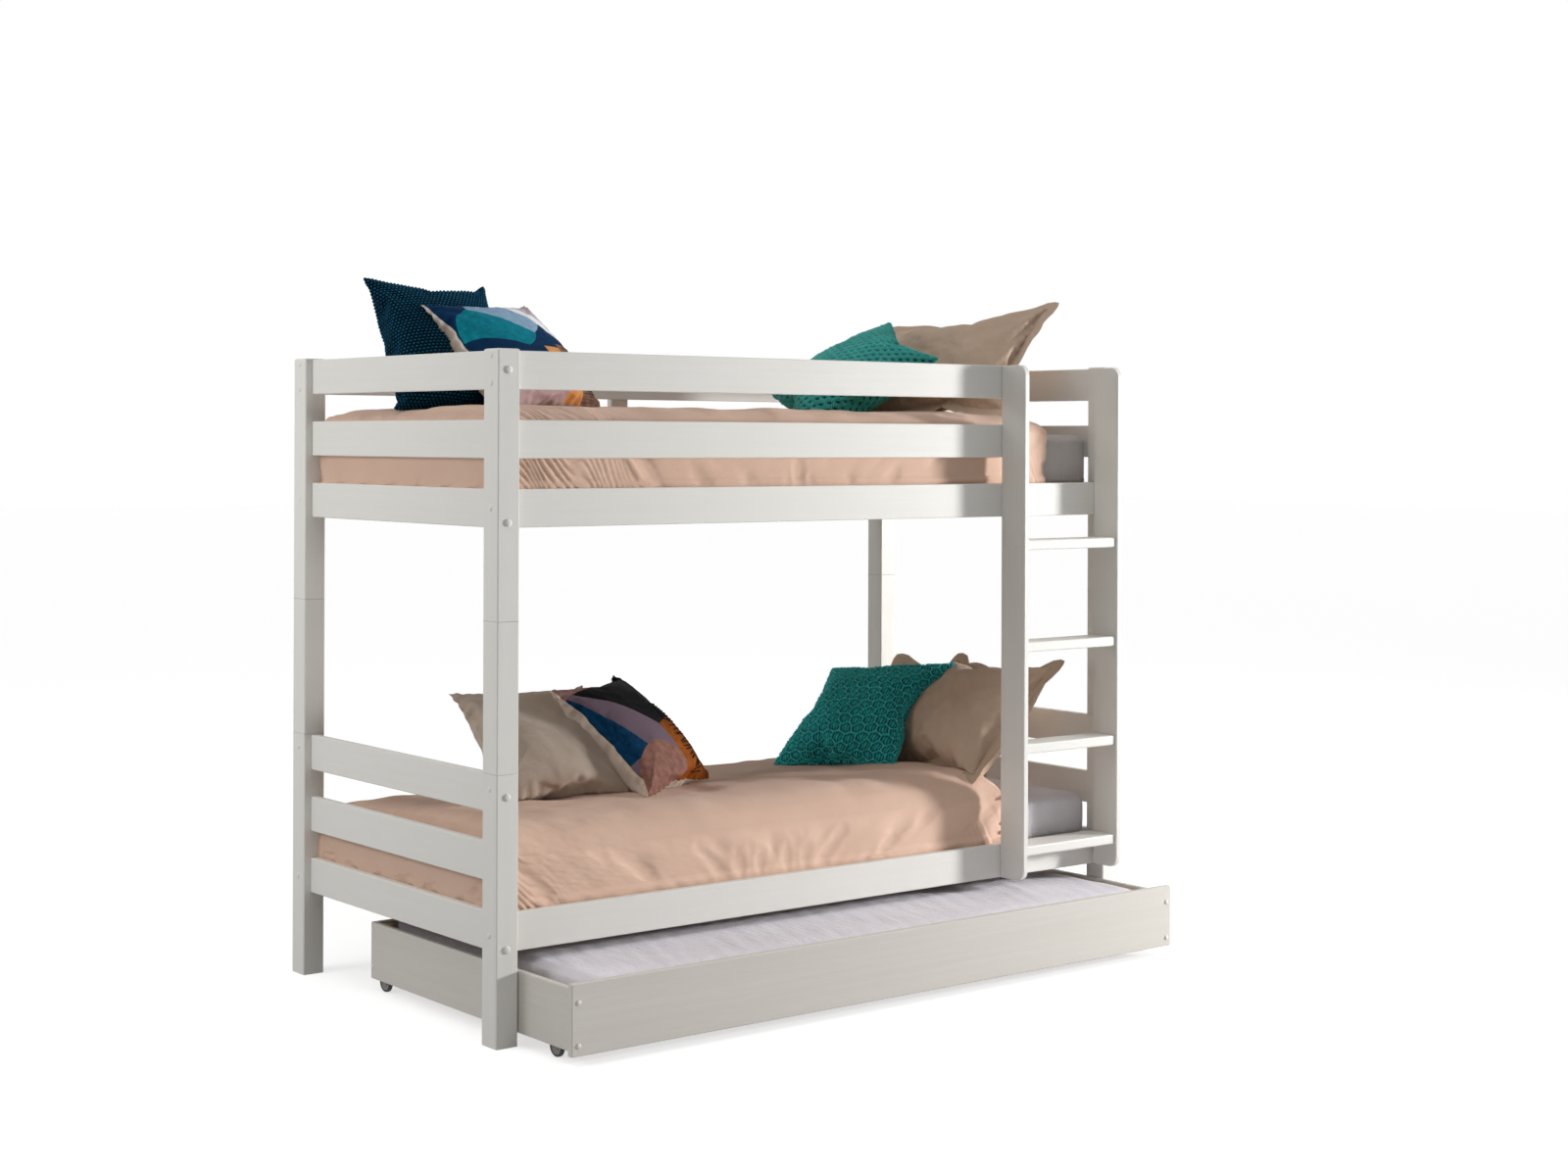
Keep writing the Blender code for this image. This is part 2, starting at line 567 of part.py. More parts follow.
def make_trundle_base(shop):
    """Pine frame inside the drawer: bearers, ledgers, slats, corner posts and end cleats, with the
    fixed caster brackets and their stub axles under the bearers."""
    name = "trundle_slat_base"
    inner_left, inner_right = TRUNDLE_INNER_X, BED_LENGTH - TRUNDLE_INNER_X
    front, back = TRUNDLE_INNER_FRONT + SEAT_GAP, TRUNDLE_INNER_BACK - SEAT_GAP
    post_top = TRUNDLE_PANEL_TOP - CORNER_POST_DROP
    cleat_top = TRUNDLE_PANEL_TOP - CLEAT_DROP

    across = bmesh.new()
    for right in (False, True):
        x0, x1 = mirrored(inner_left + SEAT_GAP, inner_left + SEAT_GAP + BEARER_WIDTH, right)
        add_block(across, (x0, front, BEARER_BOTTOM), (x1, back, BEARER_TOP))
    start = inner_left + BEARER_WIDTH + TRUNDLE_SLAT_MARGIN
    end = inner_right - BEARER_WIDTH - TRUNDLE_SLAT_MARGIN - TRUNDLE_SLAT_WIDTH
    pitch = (end - start) / (TRUNDLE_SLAT_COUNT - 1)
    for index in range(TRUNDLE_SLAT_COUNT):
        x = start + index * pitch
        add_block(across, (x, front + SLAT_END_PLAY, TRUNDLE_SLAT_BOTTOM),
                  (x + TRUNDLE_SLAT_WIDTH, back - SLAT_END_PLAY, TRUNDLE_SLAT_TOP))
    base = shop.add(name, to_mesh(name, across), PINE, shop.trundle)

    along = bmesh.new()
    ledger_low = BEARER_BOTTOM + TRUNDLE_LEDGER_DROP
    ledger_high = BEARER_TOP - TRUNDLE_LEDGER_DROP
    for y0, y1 in ((front, front + TRUNDLE_LEDGER_WIDTH), (back - TRUNDLE_LEDGER_WIDTH, back)):
        x_play = inner_left + BEARER_WIDTH / 2
        add_block(along, (x_play, y0 + TRUNDLE_LEDGER_DROP, ledger_low),
                  (BED_LENGTH - x_play, y1 - TRUNDLE_LEDGER_DROP, ledger_high))
    ledgers = shop.add(name + "_ledger_shape", to_mesh(name + "_ledgers", along), None, shop.trundle)
    combine(base, ledgers, "UNION")

    uprights = bmesh.new()
    for right in (False, True):
        x0, x1 = mirrored(inner_left + 2 * SEAT_GAP, inner_left + CORNER_POST_SIZE, right)
        for y0, y1 in ((front + SEAT_GAP, front + CORNER_POST_SIZE),
                       (back - CORNER_POST_SIZE, back - SEAT_GAP)):
            add_block(uprights, (x0, y0, BEARER_TOP - CORNER_POST_SINK), (x1, y1, post_top))
    posts = shop.add(name + "_post_shape", to_mesh(name + "_posts", uprights), None, shop.trundle)
    combine(base, posts, "UNION")

    cleats = bmesh.new()
    for right in (False, True):
        x0, x1 = mirrored(inner_left + SEAT_GAP, inner_left + CLEAT_WIDTH, right)
        add_block(cleats, (x0, front + CORNER_POST_SIZE / 2, cleat_top - CLEAT_HEIGHT),
                  (x1, back - CORNER_POST_SIZE / 2, cleat_top))
    cleat_shape = shop.add(name + "_cleat_shape", to_mesh(name + "_cleats", cleats), None,
                           shop.trundle)
    combine(base, cleat_shape, "UNION")
    add_caster_brackets(shop, base)


def add_caster_brackets(shop, base):
    """Steel plate, one cheek on the inner side of each wheel, and a stub axle through the wheel."""
    inner_face = WHEEL_OUTER_X + WHEEL_WIDTH
    cheek_x0 = inner_face + CASTER_CHEEK_PLAY
    cheek_x1 = cheek_x0 + CASTER_CHEEK_THICKNESS
    plates, cheeks = bmesh.new(), bmesh.new()
    for right in (False, True):
        for y in CASTER_PLACES.values():
            x0, x1 = mirrored(TRUNDLE_INNER_X + 2 * SEAT_GAP, TRUNDLE_INNER_X + BEARER_WIDTH, right)
            half = CASTER_PLATE_LENGTH / 2
            add_block(plates, (x0, y - half, CASTER_PLATE_BOTTOM),
                      (x1, y + half, CASTER_PLATE_BOTTOM + CASTER_PLATE_THICKNESS))
            x0, x1 = mirrored(cheek_x0, cheek_x1, right)
            half = CASTER_CHEEK_LENGTH / 2
            add_block(cheeks, (x0, y - half, WHEEL_RADIUS - CASTER_CHEEK_BELOW_AXLE),
                      (x1, y + half, CASTER_PLATE_BOTTOM + CASTER_PLATE_THICKNESS / 2))
    plate_shape = shop.add("caster_plate_shape", to_mesh("caster_plates", plates), None, shop.trundle)
    cheek_shape = shop.add("caster_cheek_shape", to_mesh("caster_cheeks", cheeks), None, shop.trundle)
    combine(base, plate_shape, "UNION")
    combine(base, cheek_shape, "UNION")
    axle_length = WHEEL_WIDTH + CASTER_CHEEK_PLAY + CASTER_CHEEK_THICKNESS / 2
    for right in (False, True):
        x0, x1 = mirrored(WHEEL_OUTER_X, WHEEL_OUTER_X + axle_length, right)
        for place, y in CASTER_PLACES.items():
            axle_name = f"caster_axle_shape_{'right' if right else 'left'}_{place}"
            axle = shop.add(axle_name, rod_mesh(axle_name, AXLE_RADIUS, axle_length, PIN_SIDES, "X"),
                            None, shop.trundle, ((x0 + x1) / 2, y, WHEEL_RADIUS))
            combine(base, axle, "UNION")


def wheel_mesh():
    """A wheel turned about its own X axis: bore, hub, sunk web, rim and rounded tread."""
    half = WHEEL_WIDTH / 2
    bore = AXLE_RADIUS + WHEEL_BORE_CLEARANCE
    web = half - WHEEL_WEB_RECESS
    right_side = [
        (bore, half), (WHEEL_HUB_RADIUS, half), (WHEEL_HUB_RADIUS + WHEEL_WEB_RECESS, web),
        (WHEEL_RIM_INNER_RADIUS, web), (WHEEL_RIM_INNER_RADIUS + WHEEL_WEB_RECESS, half),
        (WHEEL_RADIUS - WHEEL_TREAD_ROUND, half), (WHEEL_RADIUS, half - WHEEL_TREAD_ROUND),
    ]
    outline = right_side + [(radius, -x) for radius, x in reversed(right_side)]
    bm = bmesh.new()
    ring = [bm.verts.new((x, 0, radius)) for radius, x in outline]
    edges = [bm.edges.new((ring[i], ring[(i + 1) % len(ring)])) for i in range(len(ring))]
    bmesh.ops.spin(bm, geom=ring + edges, cent=(0, 0, 0), axis=(1, 0, 0), angle=math.tau,
                   steps=WHEEL_STEPS, use_merge=True)
    bmesh.ops.recalc_face_normals(bm, faces=bm.faces)
    return to_mesh("caster_wheel", bm, True)


def make_wheels(shop):
    for side, right in (("left", False), ("right", True)):
        x0, x1 = mirrored(WHEEL_OUTER_X, WHEEL_OUTER_X + WHEEL_WIDTH, right)
        for place, y in CASTER_PLACES.items():
            shop.add(f"caster_wheel_{place}_{side}", wheel_mesh(), TYRE, shop.trundle,
                     ((x0 + x1) / 2, y, WHEEL_RADIUS))


def mattress_span(floor, thickness):
    """Opposite corners of a mattress that lies on a slatted base."""
    low = (INNER_LENGTH_START + MATTRESS_END_PLAY, INNER_WIDTH_START + MATTRESS_SIDE_PLAY,
           floor + MATTRESS_BOTTOM)
    high = (INNER_LENGTH_END - MATTRESS_END_PLAY, INNER_WIDTH_END - MATTRESS_SIDE_PLAY,
            floor + MATTRESS_BOTTOM + thickness)
    return low, high


def make_mattresses(shop):
    for name, floor, thickness, finish in (
        ("lower_mattress", 0, LOWER_MATTRESS_THICKNESS, WHITE_TICKING),
        ("upper_mattress", UPPER_BED_FLOOR, UPPER_MATTRESS_THICKNESS, GREY_SHEET),
    ):
        low, high = mattress_span(floor, thickness)
        board(shop, name, low, high, finish, edge=MATTRESS_EDGE, steps=MATTRESS_EDGE_STEPS)
    x0 = TRUNDLE_INNER_X + CORNER_POST_SIZE + TRUNDLE_MATTRESS_PLAY
    x1 = BED_LENGTH - TRUNDLE_INNER_X - CORNER_POST_SIZE - TRUNDLE_MATTRESS_HEAD_GAP
    z0 = TRUNDLE_SLAT_TOP + SEAT_GAP
    board(shop, "trundle_mattress",
          (x0, TRUNDLE_INNER_FRONT + TRUNDLE_MATTRESS_PLAY, z0),
          (x1, TRUNDLE_INNER_BACK - TRUNDLE_MATTRESS_PLAY, z0 + TRUNDLE_MATTRESS_THICKNESS),
          WHITE_TICKING, shop.trundle, MATTRESS_EDGE, MATTRESS_EDGE_STEPS)


def crowded_ends(place):
    """Shifts the cuts of a celled block so that they lie closer together towards its ends."""
    eased = math.sin(place * math.pi / 2)
    return place + (eased - place) * DUVET_CELL_CROWDING_SHARE


def celled_block(cells, spread):
    """A block from -1 to 1 each way, cut into cells, whose cut places spread() may shift."""
    bm = bmesh.new()
    bmesh.ops.create_cube(bm, size=2)
    for axis, count in enumerate(cells):
        for index in range(1, count):
            place = Vector((0, 0, 0))
            place[axis] = spread(2 * index / count - 1)
            normal = Vector((0, 0, 0))
            normal[axis] = 1
            bmesh.ops.bisect_plane(bm, geom=bm.verts[:] + bm.edges[:] + bm.faces[:],
                                   plane_co=place, plane_no=normal)
    return bm


def corner_radius(end_reach, side_reach):
    """Radius that carries a rounded plan corner just past a post standing in the square corner."""
    return end_reach + side_reach + math.sqrt(2 * end_reach * side_reach) + DUVET_CORNER_PLAY


def rounded_in_plan(x, y, span_x, span_y, radius):
    """Moves a place in the corner squares of a rectangle so that its rim becomes an arc."""
    near_x = span_x[0] + radius if x < sum(span_x) / 2 else span_x[1] - radius
    near_y = span_y[0] + radius if y < sum(span_y) / 2 else span_y[1] - radius
    out_x, out_y = (x - near_x) / radius, (y - near_y) / radius
    outward = out_x * (x - sum(span_x) / 2) > 0 and out_y * (y - sum(span_y) / 2) > 0
    if not outward:
        return x, y
    shrink = max(abs(out_x), abs(out_y)) / math.hypot(out_x, out_y)
    return near_x + out_x * shrink * radius, near_y + out_y * shrink * radius


def duvet_fold(x, phase):
    """Soft folds that run down from the edge of the bed, spaced unevenly along it."""
    turn = math.tau * x / DUVET_FOLD_LENGTH
    return math.sin(turn + phase) * (1 + math.sin(turn / 2 + 2 * phase)) / 2


def make_duvet(shop, name, floor, mattress_thickness, thickness, head_gap, phase):
    """A duvet over the mattress and down its sides and foot, hollow where the mattress lies."""
    low, high = mattress_span(floor, mattress_thickness)
    x0, x1 = INNER_LENGTH_START + DUVET_SIDE_PLAY, INNER_LENGTH_END - head_gap
    edge_drop = DUVET_EDGE_DROP_SHARE * thickness
    y0, y1 = INNER_WIDTH_START + DUVET_SIDE_PLAY, INNER_WIDTH_END - DUVET_SIDE_PLAY
    z0 = rail_level(floor, 0)[1] + DUVET_HEM_LIFT
    top = high[2] + thickness
    radius = corner_radius(POST_SIZE_X - x0, POST_SIZE_Y - y0)
    bm = celled_block(DUVET_CELLS, crowded_ends)
    for vert in bm.verts:
        u, v, w = vert.co
        x = x0 + (x1 - x0) * (u + 1) / 2
        y = y0 + (y1 - y0) * (v + 1) / 2
        nearest = min(x - x0, x1 - x, y - y0, y1 - y)
        rise = min(1, nearest / DUVET_SHOULDER)
        sag = edge_drop * (1 - math.sqrt(max(0, 1 - (1 - rise) ** 2)))
        fold = DUVET_FOLD_DEPTH * duvet_fold(x, phase + 3 * v)
        level = top - sag + (fold if rise > 0 else 0) - DUVET_FOLD_DEPTH
        share = (w + 1) / 2
        draw_in = DUVET_FOLD_DEPTH * share * (1 + duvet_fold(x, phase)) / 2
        if abs(v) == 1:
            y -= v * draw_in
        if abs(u) == 1:
            x -= u * draw_in
        x, y = rounded_in_plan(x, y, (x0, x1), (y0, y1), radius)
        vert.co = (x, y, z0 + (level - z0) * share)
    bmesh.ops.triangulate(bm, faces=bm.faces)
    surface = support(bm)
    duvet = shop.add(name, to_mesh(name, bm, True), PEACH_COTTON)
    hollow_low = (low[0] - SEAT_GAP, low[1] - SEAT_GAP, low[2] - CUT_OVERRUN)
    hollow_high = (x1 + CUT_OVERRUN, high[1] + SEAT_GAP, high[2] + SEAT_GAP)
    hollow_size = [b - a for a, b in zip(hollow_low, hollow_high)]
    hollow_middle = [(a + b) / 2 for a, b in zip(hollow_low, hollow_high)]
    hollow = shop.add(name + "_hollow_shape", block_mesh(name + "_hollow", hollow_size), None,
                      place=hollow_middle)
    combine(duvet, hollow, "DIFFERENCE")
    return surface


def crown(place, flange):
    """Height of a cushion's swelling, 1 in its middle and 0 at its seam or flange."""
    inner = min(1, abs(place) / (1 - flange))
    return (1 - inner ** 2) ** CUSHION_CROWN_POWER


def pillow_bmesh(pillow):
    """A stuffed cushion: crowned faces that meet in a thin seam, sides drawn in between corners."""
    bm = celled_block((CUSHION_CELLS, CUSHION_CELLS, 1), lambda t: math.sin(t * math.pi / 2))
    flange_x = 2 * pillow.flange / pillow.width
    flange_y = 2 * pillow.flange / pillow.height
    rim = CUSHION_RIM_SHARE * INNER_WIDTH
    for vert in bm.verts:
        u, v, w = vert.co
        swell = crown(u, flange_x) * crown(v, flange_y)
        x = pillow.width / 2 * u * (1 - CUSHION_DRAWN_IN_SHARE * (1 - v * v))
        y = pillow.height / 2 * v * (1 - CUSHION_DRAWN_IN_SHARE * (1 - u * u))
        z = w * (rim + (pillow.thickness - rim) * swell) / 2
        vert.co = (x, y, z)
    facing, lean, spin = (math.radians(a) for a in (pillow.facing, pillow.lean, pillow.spin))
    out = Vector((math.cos(facing) * math.cos(lean), math.sin(facing) * math.cos(lean), math.sin(lean)))
    up = Vector((-math.cos(facing) * math.sin(lean), -math.sin(facing) * math.sin(lean),
                 math.cos(lean)))
    side = up.cross(out)
    turn = Matrix((side, up, out)).transposed() @ Matrix.Rotation(spin, 3, "Z")
    for vert in bm.verts:
        vert.co = turn @ vert.co
    bmesh.ops.translate(bm, verts=bm.verts, vec=up * pillow.height / 2)
    return bm


def surface_points(bm):
    """The corners of a mesh and the middles of its edges."""
    corners = [vert.co.copy() for vert in bm.verts]
    return corners + [(edge.verts[0].co + edge.verts[1].co) / 2 for edge in bm.edges]


def rest_height(bm, supports):
    """How far a shape near the floor must be lifted to lie on what is under it."""
    lift = 0
    own = BVHTree.FromBMesh(bm)
    down, upward = Vector((0, 0, -1)), Vector((0, 0, 1))
    for point in surface_points(bm):
        for tree, _ in supports:
            hit = tree.ray_cast(Vector((point.x, point.y, BED_LENGTH)), down)[0]
            if hit is not None:
                lift = max(lift, hit.z - point.z)
    for _, points in supports:
        for point in points:
            hit = own.ray_cast(Vector((point.x, point.y, -BED_LENGTH)), upward)[0]
            if hit is not None:
                lift = max(lift, point.z - hit.z)
    return lift + CUSHION_REST_GAP


def support(bm):
    """What a cushion may lie on: its faces for rays from above, and its points for rays from below."""
    return BVHTree.FromBMesh(bm), surface_points(bm)


def make_pillows(shop, name, pillows, finish, supports, at_head):
    """One cushion, or several that lean on each other and are joined where they touch."""
    made = None
    group_width = pillows[0].width
    for index, pillow in enumerate(pillows):
        bm = pillow_bmesh(pillow)
        from_end = pillow.place_share[0] * group_width
        x = INNER_LENGTH_END - from_end if at_head else INNER_LENGTH_START + from_end
        y = BED_WIDTH / 2 + pillow.place_share[1] * group_width
        bmesh.ops.translate(bm, verts=bm.verts, vec=(x, y, 0))
        lift = rest_height(bm, supports)
        bmesh.ops.translate(bm, verts=bm.verts, vec=(0, 0, lift))
        if made is None:
            made = shop.add(name, to_mesh(name, bm, True), finish)
        else:
            other = shop.add(f"{name}_shape_{index}", to_mesh(f"{name}_{index}", bm, True), None)
            combine(made, other, "UNION")


def make_bedding(shop):
    upper_groups = (
        ("upper_foot_cushions", UPPER_FOOT_PILLOWS, DARK_KNIT, False),
        ("upper_head_knit_cushion", UPPER_HEAD_KNIT, TEAL_KNIT, True),
        ("upper_head_pillow", UPPER_HEAD_PILLOW, BEIGE_COTTON, True),
    )
    lower_groups = (
        ("lower_foot_cushions", LOWER_FOOT_PILLOWS, BEIGE_COTTON, False),
        ("lower_head_cushions", LOWER_HEAD_PILLOWS, BEIGE_COTTON, True),
    )
    for bed, floor, mattress, thickness, head_gap, phase, groups in (
        ("upper", UPPER_BED_FLOOR, UPPER_MATTRESS_THICKNESS, UPPER_DUVET_THICKNESS,
         UPPER_DUVET_HEAD_GAP, UPPER_FOLD_PHASE, upper_groups),
        ("lower", 0, LOWER_MATTRESS_THICKNESS, LOWER_DUVET_THICKNESS,
         LOWER_DUVET_HEAD_GAP, LOWER_FOLD_PHASE, lower_groups),
    ):
        duvet = make_duvet(shop, bed + "_duvet", floor, mattress, thickness, head_gap, phase)
        block = bmesh.new()
        add_block(block, *mattress_span(floor, mattress))
        supports = (duvet, (BVHTree.FromBMesh(block), ()))
        block.free()
        for name, pillows, finish, at_head in groups:
            make_pillows(shop, name, pillows, finish, supports, at_head)


def main():
    clear_scene()
    shop = Workshop()
    make_posts(shop)
    make_end_rails(shop)
    make_side_rails(shop)
    make_guards(shop)
    make_slat_base(shop, "lower_slat_base", 0)
    make_slat_base(shop, "upper_slat_base", UPPER_BED_FLOOR)
    make_ladder(shop)
    make_trundle_panels(shop)
    make_trundle_base(shop)
    make_wheels(shop)
    make_mattresses(shop)
    make_bedding(shop)


main()
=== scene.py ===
"""Looks of the bunk bed with a trundle drawer: wood, bolt caps, mattresses, duvets and cushions.

Metres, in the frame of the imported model: +X along the bed towards its head, -Y towards the room.
"""
import math

import bpy
import numpy as np
from mathutils import Matrix, Vector
from mathutils.bvhtree import BVHTree


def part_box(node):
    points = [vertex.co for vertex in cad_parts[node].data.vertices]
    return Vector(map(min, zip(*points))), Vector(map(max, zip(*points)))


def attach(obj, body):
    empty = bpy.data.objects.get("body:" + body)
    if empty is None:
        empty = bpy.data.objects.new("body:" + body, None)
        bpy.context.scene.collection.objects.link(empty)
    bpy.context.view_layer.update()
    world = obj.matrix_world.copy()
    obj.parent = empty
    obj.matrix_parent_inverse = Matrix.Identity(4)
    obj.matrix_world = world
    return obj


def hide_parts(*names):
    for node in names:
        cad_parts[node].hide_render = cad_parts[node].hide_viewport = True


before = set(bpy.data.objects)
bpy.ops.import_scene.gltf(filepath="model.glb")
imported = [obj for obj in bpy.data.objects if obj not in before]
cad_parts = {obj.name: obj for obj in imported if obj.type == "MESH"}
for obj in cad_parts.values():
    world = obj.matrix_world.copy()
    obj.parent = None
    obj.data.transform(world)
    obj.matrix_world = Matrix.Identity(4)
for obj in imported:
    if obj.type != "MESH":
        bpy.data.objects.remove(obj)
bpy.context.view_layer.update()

BED_LEFT, BED_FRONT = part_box("lower_post_front_left")[0][:2]
BED_RIGHT, BED_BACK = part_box("upper_post_back_right")[1][:2]

# Camera: level, turned from +Y towards +X, framed with a shift
CAMERA_PLACE = (-3.9811, -4.9828, 1.4189)
CAMERA_TURN = 0.6475
CAMERA_ROLL = 0.0037
CAMERA_LENS = 53.737
CAMERA_SENSOR = 36.0
CAMERA_SHIFT = (0.0625, -0.09417)

# Studio. Lamps: place, size and power
WORLD_STRENGTH = 0.22
LAMP_TARGET = (0, 0, 0.85)
KEY_LAMP = (5.3, -3.1, 1.4), 0.8, 380.0
FILL_LAMP = (-3.3, 0.8, 1.9), 1.4, 28.0
SKY_TURN = (0.10, -0.12, 0.0)
SKY_SPREAD = 1.0
SKY_STRENGTH = 1.0
FLOOR_ALBEDO = 0.55
FLOOR_GLOW = 0.66
FLOOR_REACH = 40.0

# Bolt and screw caps: the radius and the rise of their domes, then where they sit
BOLT_CAP = 0.0095, 0.0045
SCREW_CAP = 0.0065, 0.0022
DRAWER_CAP = 0.0062, 0.0030
LADDER_SCREW = 0.0040, 0.0010
BOLT_INSET = 0.028
BOLT_HEIGHTS = (0.230, 0.585, 1.225, 1.582)
SCREW_INSET = 0.032
SCREW_HEIGHTS = (0.260, 0.602, 1.258, 1.551, 1.616)
DRAWER_CAP_INSET = 0.018
DRAWER_CAP_HEIGHTS = (0.050, 0.148)
PANEL_CAP_INSET = 0.009
PANEL_CAP_HEIGHTS = (0.062, 0.157)
LADDER_SCREW_SPREAD = 0.017
CAP_SIDES = 20
CAP_RINGS = ((1.0, -0.10), (1.0, 0.28), (0.94, 0.56), (0.74, 0.84), (0.40, 0.97))

# Cushion covers
COVER_CELL = 0.011
COVER_FRAMES = 26
COVER_CROWN = 0.012
CREASE = 0.0045
KNIT_BORDER = 0.010
PILLOW_RIM = 0.027

# Mattresses
MATTRESS_CELL = 0.020
MATTRESS_EDGE = 0.030
MATTRESS_CROWN = 0.004
PIPING = 0.004


class Nodes:
    """The nodes of a material or world, with a call for each kind that the finishes use."""

    def __init__(self, owner):
        owner.use_nodes = True
        self.owner, self.tree = owner, owner.node_tree
        self.shader = self.tree.nodes.get("Principled BSDF")

    def feed(self, socket, value):
        if isinstance(value, bpy.types.NodeSocket):
            self.tree.links.new(value, socket)
        else:
            socket.default_value = value

    def add(self, kind, inputs=(), **settings):
        node = self.tree.nodes.new(kind)
        for key, value in settings.items():
            setattr(node, key, value)
        for key, value in dict(inputs).items():
            self.feed(node.inputs[key], value)
        return node

    def math(self, operation, a, b=0.0):
        return self.add("ShaderNodeMath", {0: a, 1: b}, operation=operation).outputs[0]

    def plus(self, a, b):
        return self.math("ADD", a, b)

    def minus(self, a, b):
        return self.math("SUBTRACT", a, b)

    def times(self, a, b):
        return self.math("MULTIPLY", a, b)

    def stretch(self, vector, factors):
        node = self.add("ShaderNodeVectorMath", {0: vector, 1: factors}, operation="MULTIPLY")
        return node.outputs[0]

    def split(self, vector):
        return self.add("ShaderNodeSeparateXYZ", {0: vector}).outputs

    def place(self):
        return self.add("ShaderNodeTexCoord").outputs["Object"]

    def flat(self):
        return self.add("ShaderNodeUVMap", uv_map="flat").outputs[0]

    def noise(self, vector, scale, detail=2.0, roughness=0.5, shift=None, distortion=0.0):
        inputs = {"Vector": vector, "Scale": scale, "Detail": detail, "Roughness": roughness,
                  "Distortion": distortion}
        if shift is None:
            return self.add("ShaderNodeTexNoise", inputs).outputs[0]
        inputs["W"] = shift
        return self.add("ShaderNodeTexNoise", inputs, noise_dimensions="4D").outputs[0]

    def spread(self, value, low, high, to_low=0.0, to_high=1.0):
        node = self.add("ShaderNodeMapRange", {0: value, 1: low, 2: high, 3: to_low, 4: to_high})
        return node.outputs[0]

    def seen(self):
        """1 for what the camera sees, directly, mirrored or through glass, and 0 for lighting."""
        path = self.add("ShaderNodeLightPath").outputs
        seen = self.math("MAXIMUM", path["Is Camera Ray"], path["Is Glossy Ray"])
        return self.math("MAXIMUM", seen, path["Is Transmission Ray"])

    def mix(self, factor, a, b):
        node = self.add("ShaderNodeMix", data_type="RGBA")
        for index, value in ((0, factor), (6, a), (7, b)):
            self.feed(node.inputs[index], value)
        return node.outputs[2]

    def bump(self, height, distance, strength=1.0, normal=None):
        inputs = {"Height": height, "Distance": distance, "Strength": strength}
        if normal is not None:
            inputs["Normal"] = normal
        return self.add("ShaderNodeBump", inputs).outputs[0]

    def finish(self, colour, roughness, normal=None, **plain):
        self.feed(self.shader.inputs["Base Color"], colour)
        self.feed(self.shader.inputs["Roughness"], roughness)
        if normal is not None:
            self.feed(self.shader.inputs["Normal"], normal)
        for key, value in plain.items():
            self.shader.inputs[key.replace("_", " ")].default_value = value
        return self.owner


def new_material(name):
    return Nodes(bpy.data.materials.new(name))


def rgb(red, green, blue):
    """A colour given as it shows on a screen, from 0 to 255."""
    shares = [c / 255 for c in (red, green, blue)]
    linear = [s / 12.92 if s < 0.04045 else ((s + 0.055) / 1.055) ** 2.4 for s in shares]
    return (*linear, 1.0)


# Wood: pale and dark grain and its darker streaks
STAINED = rgb(228, 226, 221), rgb(225, 223, 217), rgb(214, 211, 205)
# The drawer's pine is a little darker and warmer than the bed's
DRAWER_DARKER_PINE = rgb(213, 209, 202), rgb(208, 203, 195), rgb(196, 190, 181)
RAW_PINE = rgb(206, 176, 138), rgb(186, 150, 110), rgb(150, 112, 76)
RAW_ROUGHNESS = 0.60
GRAIN_RELIEF = 0.00022
GRAIN = {"X": (0.016, 1, 1), "Y": (1, 0.016, 1), "Z": (1, 1, 0.016)}

# Woven cloth: the pitch and relief of its threads, roughness and sheen
COTTON = 0.0010, 0.0002, 0.82, 0.2
SHEETING = 0.0010, 0.0002, 0.90, 0.1
TICKING = 0.0012, 0.0003, 0.85, 0.1
LINEN = 0.0016, 0.0004, 0.90, 0.2

# Knitting wool: the pitch of its plies and their relief
PLY = 0.0042
PLY_RELIEF = 0.0006


def wood(name, along, pale, dark, streak, roughness=0.48):
    """Planed pine: fine lines along the boards, slow rings, and a few darker bands."""
    make = new_material(name)
    board = make.times(make.add("ShaderNodeObjectInfo").outputs["Random"], 37.0)
    stretched = make.stretch(make.place(), GRAIN[along])
    fine = make.noise(stretched, 620.0, 3.0, 0.6, board)
    pores = make.noise(stretched, 1500.0, 2.0, 0.5, board)
    bands = make.noise(stretched, 70.0, 2.0, 0.55, board, 0.6)
    slow = make.noise(make.place(), 2.2, 1.0, 0.5, board)
    tone = make.plus(make.times(fine, 0.5), make.times(bands, 0.5))
    colour = make.mix(make.spread(tone, 0.38, 0.62), pale, dark)
    colour = make.mix(make.spread(pores, 0.60, 0.74, 0.0, 0.35), colour, streak)
    colour = make.mix(make.spread(slow, 0.35, 0.7, 0.0, 0.30), colour, dark)
    normal = make.bump(make.plus(fine, make.times(pores, 0.6)), GRAIN_RELIEF)
    shine = make.spread(fine, 0.3, 0.7, roughness - 0.05, roughness + 0.08)
    return make.finish(colour, shine, normal, Specular_IOR_Level=0.35)


